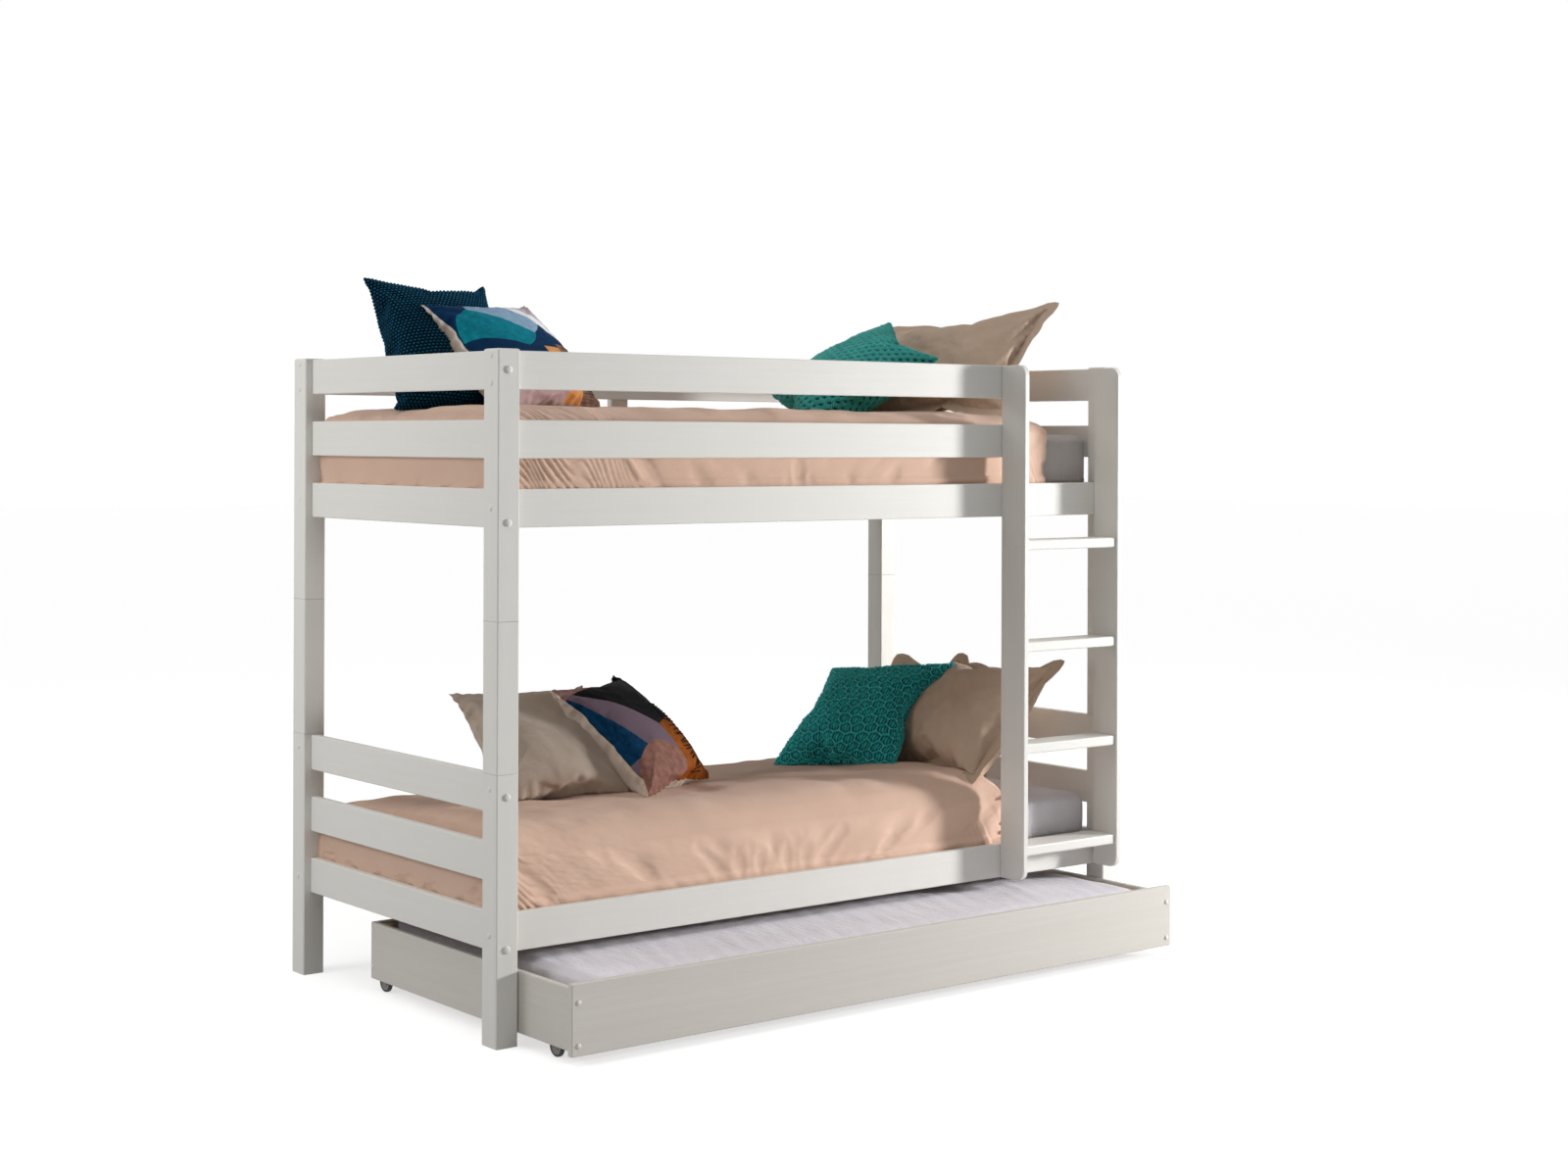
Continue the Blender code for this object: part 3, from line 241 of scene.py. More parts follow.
def cloth(name, colour, other, weave, creases, wrinkles=0.0):
    """Woven cotton: crossing threads, slubs, a slow change of colour and small creases."""
    pitch, relief, roughness, sheen = weave
    make = new_material(name)
    flat = make.flat()
    turns = math.tau / pitch
    x, y, _ = make.split(make.stretch(flat, (turns, turns, 1)))
    threads = make.times(make.math("SINE", x), make.math("SINE", y))
    slubs = make.noise(make.stretch(flat, (1, 9, 1)), 240.0, 2.0)
    slow = make.noise(flat, 7.0, 3.0, 0.55)
    shade = make.mix(make.spread(slow, 0.3, 0.7), colour, other)
    shade = make.mix(make.spread(slubs, 0.55, 0.8, 0.0, 0.35), shade, other)
    small = make.noise(flat, 34.0, 3.0, 0.6, None, 1.2)
    long = make.noise(make.stretch(flat, (1, 0.22, 1)), 26.0, 2.0, 0.5, None, 2.2)
    normal = make.bump(long, wrinkles)
    normal = make.bump(small, creases, 1.0, normal)
    normal = make.bump(threads, relief, 0.6, normal)
    rough = make.spread(slubs, 0.3, 0.7, roughness - 0.05, roughness + 0.05)
    return make.finish(shade, rough, normal, Sheen_Weight=sheen, Specular_IOR_Level=0.25)


def yarn(name, gap, body, light, sheen=0.1):
    """Knitted wool: painted shade in its gaps, painted highlight on its crowns, the twist of its plies
    and fuzz.
    """
    make = new_material(name)
    relief = make.add("ShaderNodeAttribute", attribute_name="relief").outputs["Fac"]
    flat = make.flat()
    turns = math.tau / PLY
    x, y, _ = make.split(make.stretch(flat, (turns, turns * 0.8, 1)))
    plies = make.math("SINE", make.plus(x, y))
    fuzz = make.noise(flat, 900.0, 3.0, 0.65)
    patch = make.noise(flat, 75.0, 2.0, 0.6)
    slow = make.noise(flat, 9.0, 2.0)
    # gap is painted shade for the hollows of the knit, light is a painted highlight for its crowns, and
    # body is the wool's own colour
    colour = make.mix(make.spread(relief, 0.22, 0.60), gap, body)
    # Painted highlight on the crowns, brighter in some patches than in others
    crown = make.times(make.spread(relief, 0.60, 0.95), make.spread(patch, 0.35, 0.65, 0.35, 1.0))
    colour = make.mix(crown, colour, light)
    # Flecks of fuzz take some of the painted highlight colour
    colour = make.mix(make.spread(fuzz, 0.5, 0.8, 0.0, 0.25), colour, light)
    # Slow patches take some of the painted gap shade colour
    colour = make.mix(make.spread(slow, 0.4, 0.75, 0.0, 0.20), colour, gap)
    normal = make.bump(make.plus(make.times(plies, 0.4), fuzz), PLY_RELIEF)
    return make.finish(colour, make.spread(fuzz, 0.3, 0.7, 0.82, 0.98), normal, Sheen_Weight=sheen,
                       Sheen_Roughness=0.6, Specular_IOR_Level=0.15)


def plain_thread(name, colour):
    make = new_material(name)
    fuzz = make.noise(make.place(), 800.0, 3.0)
    return make.finish(make.mix(fuzz, colour, rgb(20, 14, 10)), make.spread(fuzz, 0.3, 0.7, 0.75, 0.95),
                       make.bump(fuzz, 0.0003), Specular_IOR_Level=0.10)


# Printed fields: the areas in whose overlap each lies, and the two colours of its cloth. An area
# of four numbers is a disc: x, y, radius, squash. One of three is the side of a line on which
# x * X + y * Y is more than an offset: X, Y, offset.
WAVES = (
    (((0.140, 0.260, 0.125, 1.35), (0.35, 0.94, 0.235)), rgb(8, 134, 150), rgb(0, 112, 132)),
    (((0.210, 0.330, 0.110, 1.0), (0.62, 0.78, 0.335)), rgb(150, 178, 202), rgb(128, 160, 188)),
    (((0.80, 0.60, 0.405),), rgb(244, 244, 244), rgb(234, 234, 236)),
    (((0.80, 0.60, 0.448),), rgb(196, 184, 188), rgb(182, 168, 172)),
    (((0.0, -1.0, -0.150),), rgb(214, 188, 190), rgb(200, 172, 176)),
    (((0.0, -1.0, -0.175), (1.0, 0.12, 0.270)), rgb(244, 176, 112), rgb(232, 158, 94)),
    (((0.0, -1.0, -0.190), (1.0, 0.12, 0.330)), rgb(150, 118, 100), rgb(126, 96, 82)),
    (((-1.0, 0.0, -0.010),), rgb(222, 212, 202), rgb(208, 198, 188)),
)
WEDGES = (
    (((0.72, 0.69, 0.285), (0.0, 1.0, 0.150)), rgb(2, 2, 4), rgb(1, 1, 2)),
    (((-1.0, -0.36, -0.150), (0.0, 1.0, 0.110)), rgb(0, 62, 98), rgb(0, 36, 66)),
    (((0.0, 1.0, 0.368), (-1.0, 0.20, -0.130)), rgb(150, 118, 112), rgb(130, 98, 94)),
    (((0.130, 0.000, 0.135, 1.0),), rgb(146, 104, 92), rgb(120, 84, 74)),
    (((1.0, 0.0, 0.225), (0.25, -1.0, -0.120)), rgb(150, 80, 20), rgb(128, 66, 14)),
    (((-1.0, 0.0, -0.010),), rgb(206, 188, 170), rgb(190, 172, 154)),
)


def printed(name, ground, fields):
    """A printed cloth: plain fields laid one over another on the cover's flat coordinates."""
    make = new_material(name)
    flat = make.flat()
    x, y, _ = make.split(flat)
    edge = make.times(make.minus(make.noise(flat, 45.0, 3.0), 0.5), 0.003)
    grain = make.spread(make.noise(flat, 60.0, 4.0, 0.6), 0.35, 0.65)
    shown = make.mix(0.0, ground, ground)
    for areas, colour, other in fields:
        parts = []
        for a, b, size, *squash in areas:
            if squash:
                dx, dy = make.minus(x, a), make.times(make.minus(y, b), squash[0])
                square = make.plus(make.times(dx, dx), make.times(dy, dy))
                parts.append(make.minus(size, make.math("SQRT", square)))
            else:
                parts.append(make.minus(make.plus(make.times(x, a), make.times(y, b)), size))
        inside = parts[0] if len(parts) == 1 else make.math("MINIMUM", *parts)
        mask = make.spread(make.plus(inside, edge), -0.0006, 0.0006)
        shown = make.mix(mask, shown, make.mix(grain, colour, other))
    nap = make.noise(flat, 130.0, 4.0, 0.65, None, 0.8)
    creases = make.noise(flat, 22.0, 3.0, 0.6, None, 1.0)
    shown = make.mix(make.spread(nap, 0.55, 0.80, 0.0, 0.005), shown, (1, 1, 1, 1))
    normal = make.bump(nap, 0.0004, 0.5, make.bump(creases, 0.0030))
    return make.finish(shown, make.spread(nap, 0.3, 0.7, 0.72, 0.90), normal, Specular_IOR_Level=0.10)


def put_in_scene(name, data):
    made = bpy.data.objects.new(name, data)
    bpy.context.scene.collection.objects.link(made)
    return made


def mesh_object(name, points, faces, flats=None):
    """A smooth piece. flats holds a place on the flat cloth for each corner of each face."""
    mesh = bpy.data.meshes.new(name)
    mesh.from_pydata([tuple(p) for p in points], [], [tuple(f) for f in faces])
    mesh.shade_smooth()
    if flats is not None:
        mesh.uv_layers.new(name="flat").uv.foreach_set("vector", np.asarray(flats, float).ravel())
    return put_in_scene(name, mesh)


def ring_faces(start, rings, count, order=(0, 1, 2, 3)):
    """Squares between closed rings of points that follow one another."""
    faces = []
    for ring in range(rings - 1):
        first = start + ring * count
        for k in range(count):
            a, b = first + k, first + (k + 1) % count
            square = (a, b, b + count, a + count)
            faces.append([square[i] for i in order])
    return faces


def dress(piece, *materials):
    for material in materials:
        piece.data.materials.append(material)
    return piece


def caps(name, places, body, material):
    """Low domes in one piece, each on a face with its rim a little sunk in it. places holds
    (place, direction, radius, rise)."""
    points, faces = [], []
    for place, direction, radius, rise in places:
        turn = Vector((0, 0, 1)).rotation_difference(Vector(direction)).to_matrix()
        start = len(points)
        for share, lift in CAP_RINGS:
            for step in range(CAP_SIDES):
                angle, away = math.tau * step / CAP_SIDES, radius * share
                spot = Vector((away * math.cos(angle), away * math.sin(angle), rise * lift))
                points.append(turn @ spot + Vector(place))
        top = len(points)
        points.append(turn @ Vector((0, 0, rise)) + Vector(place))
        faces += ring_faces(start, len(CAP_RINGS), CAP_SIDES)
        last = top - CAP_SIDES
        for step in range(CAP_SIDES):
            faces.append((last + step, last + (step + 1) % CAP_SIDES, top))
    made = dress(mesh_object(name, points, faces), material)
    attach(made, body)
    return made


def middle_of(node):
    low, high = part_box(node)
    return [(a + b) / 2 for a, b in zip(low, high)]


def make_caps(material):
    ends, sides = ((BED_LEFT, -1), (BED_RIGHT, 1)), ((BED_FRONT, -1), (BED_BACK, 1))
    bed, drawer = [], []
    for z in BOLT_HEIGHTS:
        for y, face in sides:
            bed += [((x - turn * BOLT_INSET, y, z), (0, face, 0), *BOLT_CAP) for x, turn in ends]
    for z in SCREW_HEIGHTS:
        for x, face in ends:
            bed += [((x, y - turn * SCREW_INSET, z), (face, 0, 0), *SCREW_CAP) for y, turn in sides]
    left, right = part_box("ladder_upright_left")[0][0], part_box("ladder_upright_right")[1][0]
    for index in range(1, 5):
        _, y, z = middle_of(f"ladder_rung_{index}")
        for shift in (-LADDER_SCREW_SPREAD, LADDER_SCREW_SPREAD):
            for x, face in ((left, -1), (right, 1)):
                bed.append(((x, y + shift, z), (face, 0, 0), *LADDER_SCREW))
    low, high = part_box("trundle_front_panel")
    for x in (low[0] + DRAWER_CAP_INSET, high[0] - DRAWER_CAP_INSET):
        for z in DRAWER_CAP_HEIGHTS:
            drawer.append(((x, low[1], z), (0, -1, 0), *DRAWER_CAP))
    for panel, end, face in (("trundle_left_panel", 0, -1), ("trundle_right_panel", 1, 1)):
        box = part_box(panel)
        y = box[1][1] - PANEL_CAP_INSET
        for z in PANEL_CAP_HEIGHTS:
            drawer.append(((box[end][0], y, z), (face, 0, 0), *SCREW_CAP))
    caps("bed_bolt_caps", bed, "bed", material)
    caps("drawer_bolt_caps", drawer, "trundle", material)


def column(items, field, size=1, kind=float):
    """A field of all items of a mesh, in rows of size where that is over 1."""
    values = np.empty(len(items) * size, kind)
    items.foreach_get(field, values)
    return values.reshape(-1, size) if size > 1 else values


def points_of(piece):
    return column(piece.data.vertices, "co", 3)


def normals_of(piece):
    return column(piece.data.vertices, "normal", 3)


def set_points(piece, points):
    piece.data.vertices.foreach_set("co", np.asarray(points, float).ravel())
    piece.data.update()


def push_out(piece, push):
    """Move each point of a piece along its normal."""
    set_points(piece, points_of(piece) + normals_of(piece) * push[:, None])


def lengths(vectors):
    return np.linalg.norm(vectors, axis=1)[:, None]


def unit(values):
    return np.clip(values, 0, 1)


def bell(values, width):
    return np.exp(-((values / width) ** 2))


def inflate(piece, pressure, frames, tension, bending, growth=0.0, pinned=""):
    """Swell a piece like a filled cover, without gravity. Returns its points and leaves no modifier."""
    scene = bpy.context.scene
    modifier = piece.modifiers.new("swell", "CLOTH")
    settings = modifier.settings
    values = {
        "quality": 4, "mass": 0.25, "tension_stiffness": tension, "compression_stiffness": tension,
        "shear_stiffness": tension / 3, "bending_stiffness": bending, "tension_damping": 8,
        "compression_damping": 8, "shear_damping": 8, "bending_damping": 1, "air_damping": 4,
        "use_pressure": True, "uniform_pressure_force": pressure, "shrink_min": -growth,
        "shrink_max": -growth, "vertex_group_mass": pinned,
    }
    for key, value in values.items():
        setattr(settings, key, value)
    settings.effector_weights.gravity = 0
    modifier.collision_settings.use_collision = False
    modifier.point_cache.frame_start = 1
    modifier.point_cache.frame_end = frames
    for step in range(1, frames + 1):
        scene.frame_set(step)
    evaluated = piece.evaluated_get(bpy.context.evaluated_depsgraph_get())
    points = column(evaluated.data.vertices, "co", 3)
    piece.modifiers.remove(modifier)
    scene.frame_set(1)
    return points


def refine(piece, levels):
    """Subdivide a piece for good, its flat coordinates with it."""
    modifier = piece.modifiers.new("refine", "SUBSURF")
    modifier.levels = levels
    modifier.render_levels = levels
    tree = bpy.context.evaluated_depsgraph_get()
    mesh = bpy.data.meshes.new_from_object(piece.evaluated_get(tree), preserve_all_data_layers=True,
                                           depsgraph=tree)
    piece.modifiers.remove(modifier)
    old = piece.data
    piece.data = mesh
    mesh.name = old.name
    bpy.data.meshes.remove(old)
    piece.data.shade_smooth()


def flat_points(piece):
    """Each vertex's place on the flat cloth, from the piece's flat coordinates."""
    flat = np.zeros((len(piece.data.vertices), 2))
    owners = column(piece.data.loops, "vertex_index", kind=int)
    flat[owners] = column(piece.data.uv_layers["flat"].uv, "vector", 2)
    return flat


def cover(name, width, height):
    """A flat bag of two layers sewn together at their rims, a little crowned so that it swells."""
    across, up = round(width / COVER_CELL), round(height / COVER_CELL)
    points, faces, flats, index = [], [], [], {}
    for side in (1, -1):
        for j in range(up + 1):
            for i in range(across + 1):
                u, v = 2 * i / across - 1, 2 * j / up - 1
                if side < 0 and (i in (0, across) or j in (0, up)):
                    index[side, i, j] = index[1, i, j]
                    continue
                index[side, i, j] = len(points)
                crown = side * COVER_CROWN * (1 - u * u) * (1 - v * v)
                points.append((width / 2 * u, height / 2 * v, crown))
        for j in range(up):
            for i in range(across):
                square = cell(i, j)[::side]
                faces.append([index[side, a, b] for a, b in square])
                flats += [(width * a / across, height * b / up) for a, b in square]
    made = mesh_object(name, points, faces, flats)
    made.data.polygons.foreach_set("material_index", np.repeat((0, 1), len(faces) // 2))
    return made


def fit(points, width, height, thickness):
    """Scale a swollen cover about its middle to its finished width, height and thickness."""
    low, high = points.min(axis=0), points.max(axis=0)
    return (points - (low + high) / 2) * (np.array((width, height, thickness)) / (high - low))


def honeycomb(flat):
    """Relief of a cabled knit: cells in staggered rows, each a ribbed boss inside a raised cord."""
    wide, tall = 0.040, 0.029
    x = flat[:, 0] + 0.0030 * np.sin(60 * flat[:, 1]) + 0.0016 * np.sin(170 * flat[:, 1])
    y = flat[:, 1] + 0.0028 * np.sin(47 * flat[:, 0]) + 0.0016 * np.sin(150 * flat[:, 0])
    first, second = np.full(len(flat), 9.0), np.full(len(flat), 9.0)
    spot_x = np.zeros(len(flat))
    for j in (-1, 0, 1, 2):
        line = np.floor(y / tall) + j
        across = x / wide - np.where(line % 2 == 0, 0.0, 0.5)
        for i in (0, 1):
            dx, dy = across - np.floor(across) - i, y / tall - line
            away = np.hypot(dx * 1.15, dy * 0.98)
            nearer = away < first
            second = np.where(nearer, first, np.minimum(second, away))
            spot_x = np.where(nearer, dx, spot_x)
            first = np.where(nearer, away, first)
    rim = second - first
    cord = bell(rim, 0.17) * (0.84 + 0.16 * np.cos(math.tau * (x + y) / 0.0105))
    ribs = 0.62 + 0.38 * np.cos(math.tau * spot_x * 4.2)
    boss = 0.84 * unit(1 - (first / 0.50) ** 2) ** 0.5 * ribs
    return np.maximum(cord, boss)


def staggered(x, y, pitch, row):
    """Offsets from the nearest spot, and whether its row is one of those moved by half a pitch."""
    line = np.round(y / row)
    moved = line % 2 != 0
    x = x - np.where(moved, pitch / 2, 0.0)
    return x - np.round(x / pitch) * pitch, y - line * row, moved


def lattice(flat):
    """Relief of an open knit: slanted strands with rows of small slits between them."""
    x, y = flat[:, 0] + 0.0014 * np.sin(70 * flat[:, 1]), flat[:, 1]
    dx, dy, moved = staggered(x, y, 0.029, 0.0185)
    along, across = dx * 0.82 + dy * 0.57, dy * 0.82 - dx * 0.57
    hole = np.exp(-((along / 0.0070) ** 2 + (across / 0.0034) ** 2))
    slant = np.where(moved, -1.0, 1.0)
    strand = 0.70 + 0.30 * np.cos(math.tau * (dx * slant + dy * 1.2) / 0.0098)
    return unit(strand * (1 - 1.15 * hole))


def seeds(flat):
    """Relief of a seed stitch: small round bumps in staggered rows."""
    x, y = flat[:, 0] + 0.002 * np.sin(31 * flat[:, 1]), flat[:, 1] + 0.002 * np.sin(27 * flat[:, 0])
    dx, dy, _ = staggered(x, y, 0.0116, 0.0088)
    return np.sqrt(unit(1 - (dx / 0.0050) ** 2 - (dy / 0.0040) ** 2))


def knit(piece, pattern, width, height, depth):
    """Raise a cushion's surface by a knit pattern that dies away in a plain border at its seam."""
    flat = flat_points(piece)
    inset = np.minimum.reduce([flat[:, 0], width - flat[:, 0], flat[:, 1], height - flat[:, 1]])
    fade = unit(inset / KNIT_BORDER)
    relief = pattern(flat) * fade + 0.5 * (1 - fade)
    push_out(piece, (relief - 0.6) * depth)
    # The relief is kept on the points; the yarn finish paints shade in its hollows and highlights on its
    # crowns from it
    piece.data.attributes.new("relief", "FLOAT", "POINT").data.foreach_set("value", relief)


def crease(piece, width, height, ears, slump):
    """Puckers along a cushion's seams, folds that fan out from the corners named by ears, and
    where the cover is loose on its filling, folds down its face."""
    x, y = flat_points(piece).T
    push = np.zeros(len(x))
    for away, along in ((y, x), (height - y, x + 0.3), (x, y + 0.7), (width - x, y + 1.1)):
        ripple = np.sin(math.tau * along / 0.031 + 2.2 * np.sin(17 * along) + 9 * away)
        push += 0.45 * CREASE * ripple * np.exp(-away / 0.028)
    for right, top, reach, spokes in ears:
        dx, dy = (width - x if right else x), (height - y if top else y)
        far = np.hypot(dx, dy)
        angle = np.arctan2(dy, dx)
        ripple = np.sin(spokes * angle + 1.6 * np.sin(3.1 * angle + 9 * far) + 11 * far)
        push += CREASE * ripple * unit((far - 0.02) / 0.05) * bell(far, reach)
    inner = np.sin(math.pi * unit(x / width)) * np.sin(math.pi * unit(y / height))
    folds = soft_ridges(x + 0.45 * y, 0.4 * y, 0.0190, 2.0) * (1.25 - y / height)
    folds += 0.35 * soft_ridges(y - 0.3 * x, 0.4 * x, 0.0240, 5.0)
    push_out(piece, push + slump * folds * inner)


def cell(i, j):
    """The corners of a square of a grid."""
    return [(i, j), (i + 1, j), (i + 1, j + 1), (i, j + 1)]


def rim_of(across, up):
    """The places round a grid of cells, counterclockwise."""
    ring = [(i, 0) for i in range(across)] + [(across, j) for j in range(up)]
    return ring + [(i, up) for i in range(across, 0, -1)] + [(0, j) for j in range(up, 0, -1)]


def flange(name, piece, width, height):
    """The flat rim of a pillow case: a double strip sewn round the seam, a little wavy."""
    across, up = round(width / COVER_CELL), round(height / COVER_CELL)
    seam = points_of(piece)[[j * (across + 1) + i for i, j in rim_of(across, up)]]
    count = len(seam)
    for _ in range(2):
        seam = (np.roll(seam, 1, axis=0) + 2 * seam + np.roll(seam, -1, axis=0)) / 4
    along = np.roll(seam, -1, axis=0) - np.roll(seam, 1, axis=0)
    out = np.cross(along / lengths(along), (0, 0, 1))
    corners = {0, across, across + up, 2 * across + up}
    steps, tuck, half_thickness, wave_height = 5, 0.009, 0.0016, 0.0060
    spots = np.arange(count)
    near = np.min([np.minimum((spots - c) % count, (c - spots) % count) for c in corners], axis=0)
    corner = np.maximum(0.0, 1 - near / 3)[:, None]
    out = out * (1 - corner) + seam / lengths(seam) * corner
    out[:, 2] = 0
    out /= lengths(out)
    wave = wave_height * np.sin(spots * 0.31) * np.sin(spots * 0.13 + 1)
    rings = []
    for layer in (1, -1):
        for share in np.linspace(0, 1, steps + 1):
            away = (PILLOW_RIM + tuck) * share * (1 + 0.30 * corner) - tuck
            lift = layer * half_thickness * (1 - share ** 6) + wave * share ** 2
            rings.append(seam + out * away + np.outer(lift, (0, 0, 1)))
    points = np.concatenate(rings)
    faces = ring_faces(0, steps + 1, count, (0, 3, 2, 1))
    faces += ring_faces((steps + 1) * count, steps + 1, count, (1, 2, 3, 0))
    outer = steps * count
    second = (steps + 1) * count + outer
    for k in range(count):
        following = (k + 1) % count
        faces.append([outer + k, second + k, second + following, outer + following])
    flats = points[np.concatenate(faces), :2] + (width / 2, height / 2)
    return mesh_object(name, points, faces, flats)


def strands(name, paths, radius):
    """Tapered threads, each along its own row of points."""
    points, faces = [], []
    sides = 5
    for path in paths:
        steps = len(path) - 1
        axis = path[-1] - path[0]
        axis = axis / np.linalg.norm(axis)
        one = np.cross(axis, (0.31, 0.53, 0.79))
        one /= np.linalg.norm(one)
        two = np.cross(axis, one)
        start = len(points)
        for step, middle in enumerate(path):
            thick = radius * (1 - 0.55 * step / steps)
            for k in range(sides):
                angle = math.tau * k / sides
                points.append(middle + thick * (math.cos(angle) * one + math.sin(angle) * two))
        faces += ring_faces(start, steps + 1, sides)
        faces.append([start + k for k in range(sides)][::-1])
        faces.append([start + steps * sides + k for k in range(sides)])
    return mesh_object(name, points, faces)


class Cushion:
    """A cushion, the CAD node that it stands for, its finished sizes and how it stands: x and y
    of its lower edge, and in degrees where its face looks, how it leans back and how it is spun."""

    PRESSURE, GROWTH, TENSION, BENDING = 4.0, 1.06, 25.0, 0.4

    def __init__(self, name, node, sizes, stand):
        self.name, self.node = name, node
        self.width, self.height, self.thickness = sizes
        self.x, self.y, *self.angles = stand
        self.rim = PILLOW_RIM if "pillow" in name else 0.0

    def make(self):
        inner_width, inner_height = self.width - 2 * self.rim, self.height - 2 * self.rim
        self.flat_width, self.flat_height = inner_width * self.GROWTH, inner_height * self.GROWTH
        self.piece = cover(self.name, self.flat_width, self.flat_height)
        points = points_of(self.piece)
        points = inflate(self.piece, self.PRESSURE, COVER_FRAMES, self.TENSION, self.BENDING)
        points = fit(points, inner_width, inner_height, self.thickness)
        set_points(self.piece, self.settle(points))
        return self.piece

    def settle(self, points):
        """Let the lower seam hang straight, the filling sink towards it and the left ear drop."""
        across = round(self.flat_width / COVER_CELL)
        flat = flat_points(self.piece)
        column_of = np.rint(flat[:, 0] / self.flat_width * across).astype(int)
        seam = points[: across + 1, 1]
        lowest = points[:, 1].min()
        below = unit(-points[:, 1] / abs(lowest))
        points[:, 1] += (lowest - seam[column_of]) * 0.8 * below ** 2
        points[:, 2] *= 1 + 0.30 * np.clip(-points[:, 1] / self.height, -0.5, 0.5)
        left = unit(0.5 - points[:, 0] / self.width)
        high = unit(0.5 + points[:, 1] / self.height)
        points[:, 1] -= SAG.get(self.name, 0.0) * left ** 2 * high ** 2
        return points

    def put(self, pieces, lift):
        """Stand it on its lower edge, turned by where its face looks, its lean and its spin."""
        facing, lean, spin = (math.radians(angle) for angle in self.angles)
        east, north, level, steep = math.cos(facing), math.sin(facing), math.cos(lean), math.sin(lean)
        out = Vector((east * level, north * level, steep))
        up = Vector((-east * steep, -north * steep, level))
        turn = Matrix((up.cross(out), up, out)).transposed() @ Matrix.Rotation(spin, 3, "Z")
        move = np.array(up) * self.height / 2 + (self.x, self.y, lift)
        for piece in pieces:
            set_points(piece, points_of(piece) @ np.array(turn).T + move)


def support_tree(pieces):
    """One search tree of the evaluated faces of the pieces that cushions may lie on."""
    points, faces = [], []
    depsgraph = bpy.context.evaluated_depsgraph_get()
    for piece in pieces:
        mesh = piece.evaluated_get(depsgraph).data
        start = len(points)
        points += [tuple(vertex.co) for vertex in mesh.vertices]
        faces += [tuple(start + v for v in polygon.vertices) for polygon in mesh.polygons]
    return BVHTree.FromPolygons(points, faces)


def carried(tree, point):
    """The place below a point on what carries it, seen from over its own bed, or None."""
    start = 3.0 if point[2] > 1.2 else 1.1
    return tree.ray_cast(Vector((point[0], point[1], start)), Vector((0, 0, -1)))[0]


def rest(pieces, tree, sink, gap=0.0006):
    """Lower a cushion until it sinks a little into what carries it, then press it flat there."""
    main = points_of(pieces[0])
    low = main[:, 2] < main[:, 2].min() + 0.10
    hits = [(point, carried(tree, point)) for point in main[low][::3]]
    drop = np.percentile([point[2] - hit.z for point, hit in hits if hit is not None], 2) + sink
    for piece in pieces:
        points = points_of(piece)
        points[:, 2] -= drop
        bottom = points[:, 2].min()
        for index in np.nonzero(points[:, 2] < bottom + 0.12)[0]:
            hit = carried(tree, points[index])
            if hit is not None:
                points[index, 2] = max(points[index, 2], hit.z + gap)
        set_points(piece, points)


def mattress(name, node, finish, body="bed"):
    """A foam mattress in its cover: round edges, piping above and below, and a crowned top."""
    low, high = (np.array(corner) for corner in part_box(node))
    size, middle = high - low, (high + low) / 2
    counts = np.array([max(6, round(s / MATTRESS_CELL)) for s in size])
    points, faces, flats, index = [], [], [], {}

    def vertex(key):
        if key not in index:
            index[key] = len(points)
            place = (2 * np.array(key) / counts - 1) * size / 2
            inner = np.clip(place, MATTRESS_EDGE - size / 2, size / 2 - MATTRESS_EDGE)
            away = place - inner
            length = np.linalg.norm(away)
            if length > 0:
                place = inner + away / length * MATTRESS_EDGE
            points.append(place + middle)
        return index[key]

    for axis in range(3):
        across, up = np.delete(counts, axis)
        for end in (0, counts[axis]):
            for i in range(across):
                for j in range(up):
                    square = [spot[:axis] + (end,) + spot[axis:] for spot in cell(i, j)]
                    if (end == 0) != (axis == 1):
                        square.reverse()
                    faces.append([vertex(key) for key in square])
                    for key in square:
                        x, y, z = key * size / counts
                        flats.append((x + z * (axis == 0), y + z * (axis == 1)))
    made = mesh_object(name, points, faces, flats)
    refine(made, 1)
    points, normals = points_of(made), normals_of(made)
    x, y, z = points.T
    side = 1 - np.abs(normals[:, 2])
    share = (z - low[2]) / size[2]
    welt = bell(share - 0.86, 0.035) + bell(share - 0.14, 0.035)
    wrinkle = np.sin(x * 95 + 5 * np.sin(y * 7.0)) * np.sin(y * 11 + 3 * np.sin(x * 5.0))
    inner_x = unit(np.minimum(x - low[0], high[0] - x) / 0.25)
    inner_y = unit(np.minimum(y - low[1], high[1] - y) / 0.25)
    push = PIPING * welt * side - 0.0015 * side * (1 + np.sin(x * 60 + y * 60)) / 2
    push += unit(normals[:, 2]) * (0.0009 * wrinkle - MATTRESS_CROWN * (1 - np.sqrt(inner_x * inner_y)))
    push_out(made, push)
    dress(made, finish)
    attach(made, body)
    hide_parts(node)
    return made


def soft_ridges(x, y, scale, seed):
    """Rounded creases with soft valleys, from -1 to 1, that run mostly across x."""
    bend = np.sin(y * 2.1 / scale + seed) + 0.6 * np.sin(y * 4.7 / scale + 1.7 * seed)
    wave = np.sin(x / scale + 0.9 * bend + seed) + 0.5 * np.sin(2.3 * x / scale - 1.3 * bend + 2.1 * seed)
    return np.tanh(1.1 * wave)


# Single folds on the fronts of the duvets: where each is, how wide and how tall
UPPER_FOLDS = (0.415, 0.011, 0.0045), (0.46, 0.022, -0.0030), (0.66, 0.05, 0.0020), (1.72, 0.02, -0.0025)
LOWER_FOLDS = (0.34, 0.05, 0.0018), (0.80, 0.09, 0.0022), (1.25, 0.10, 0.0020)


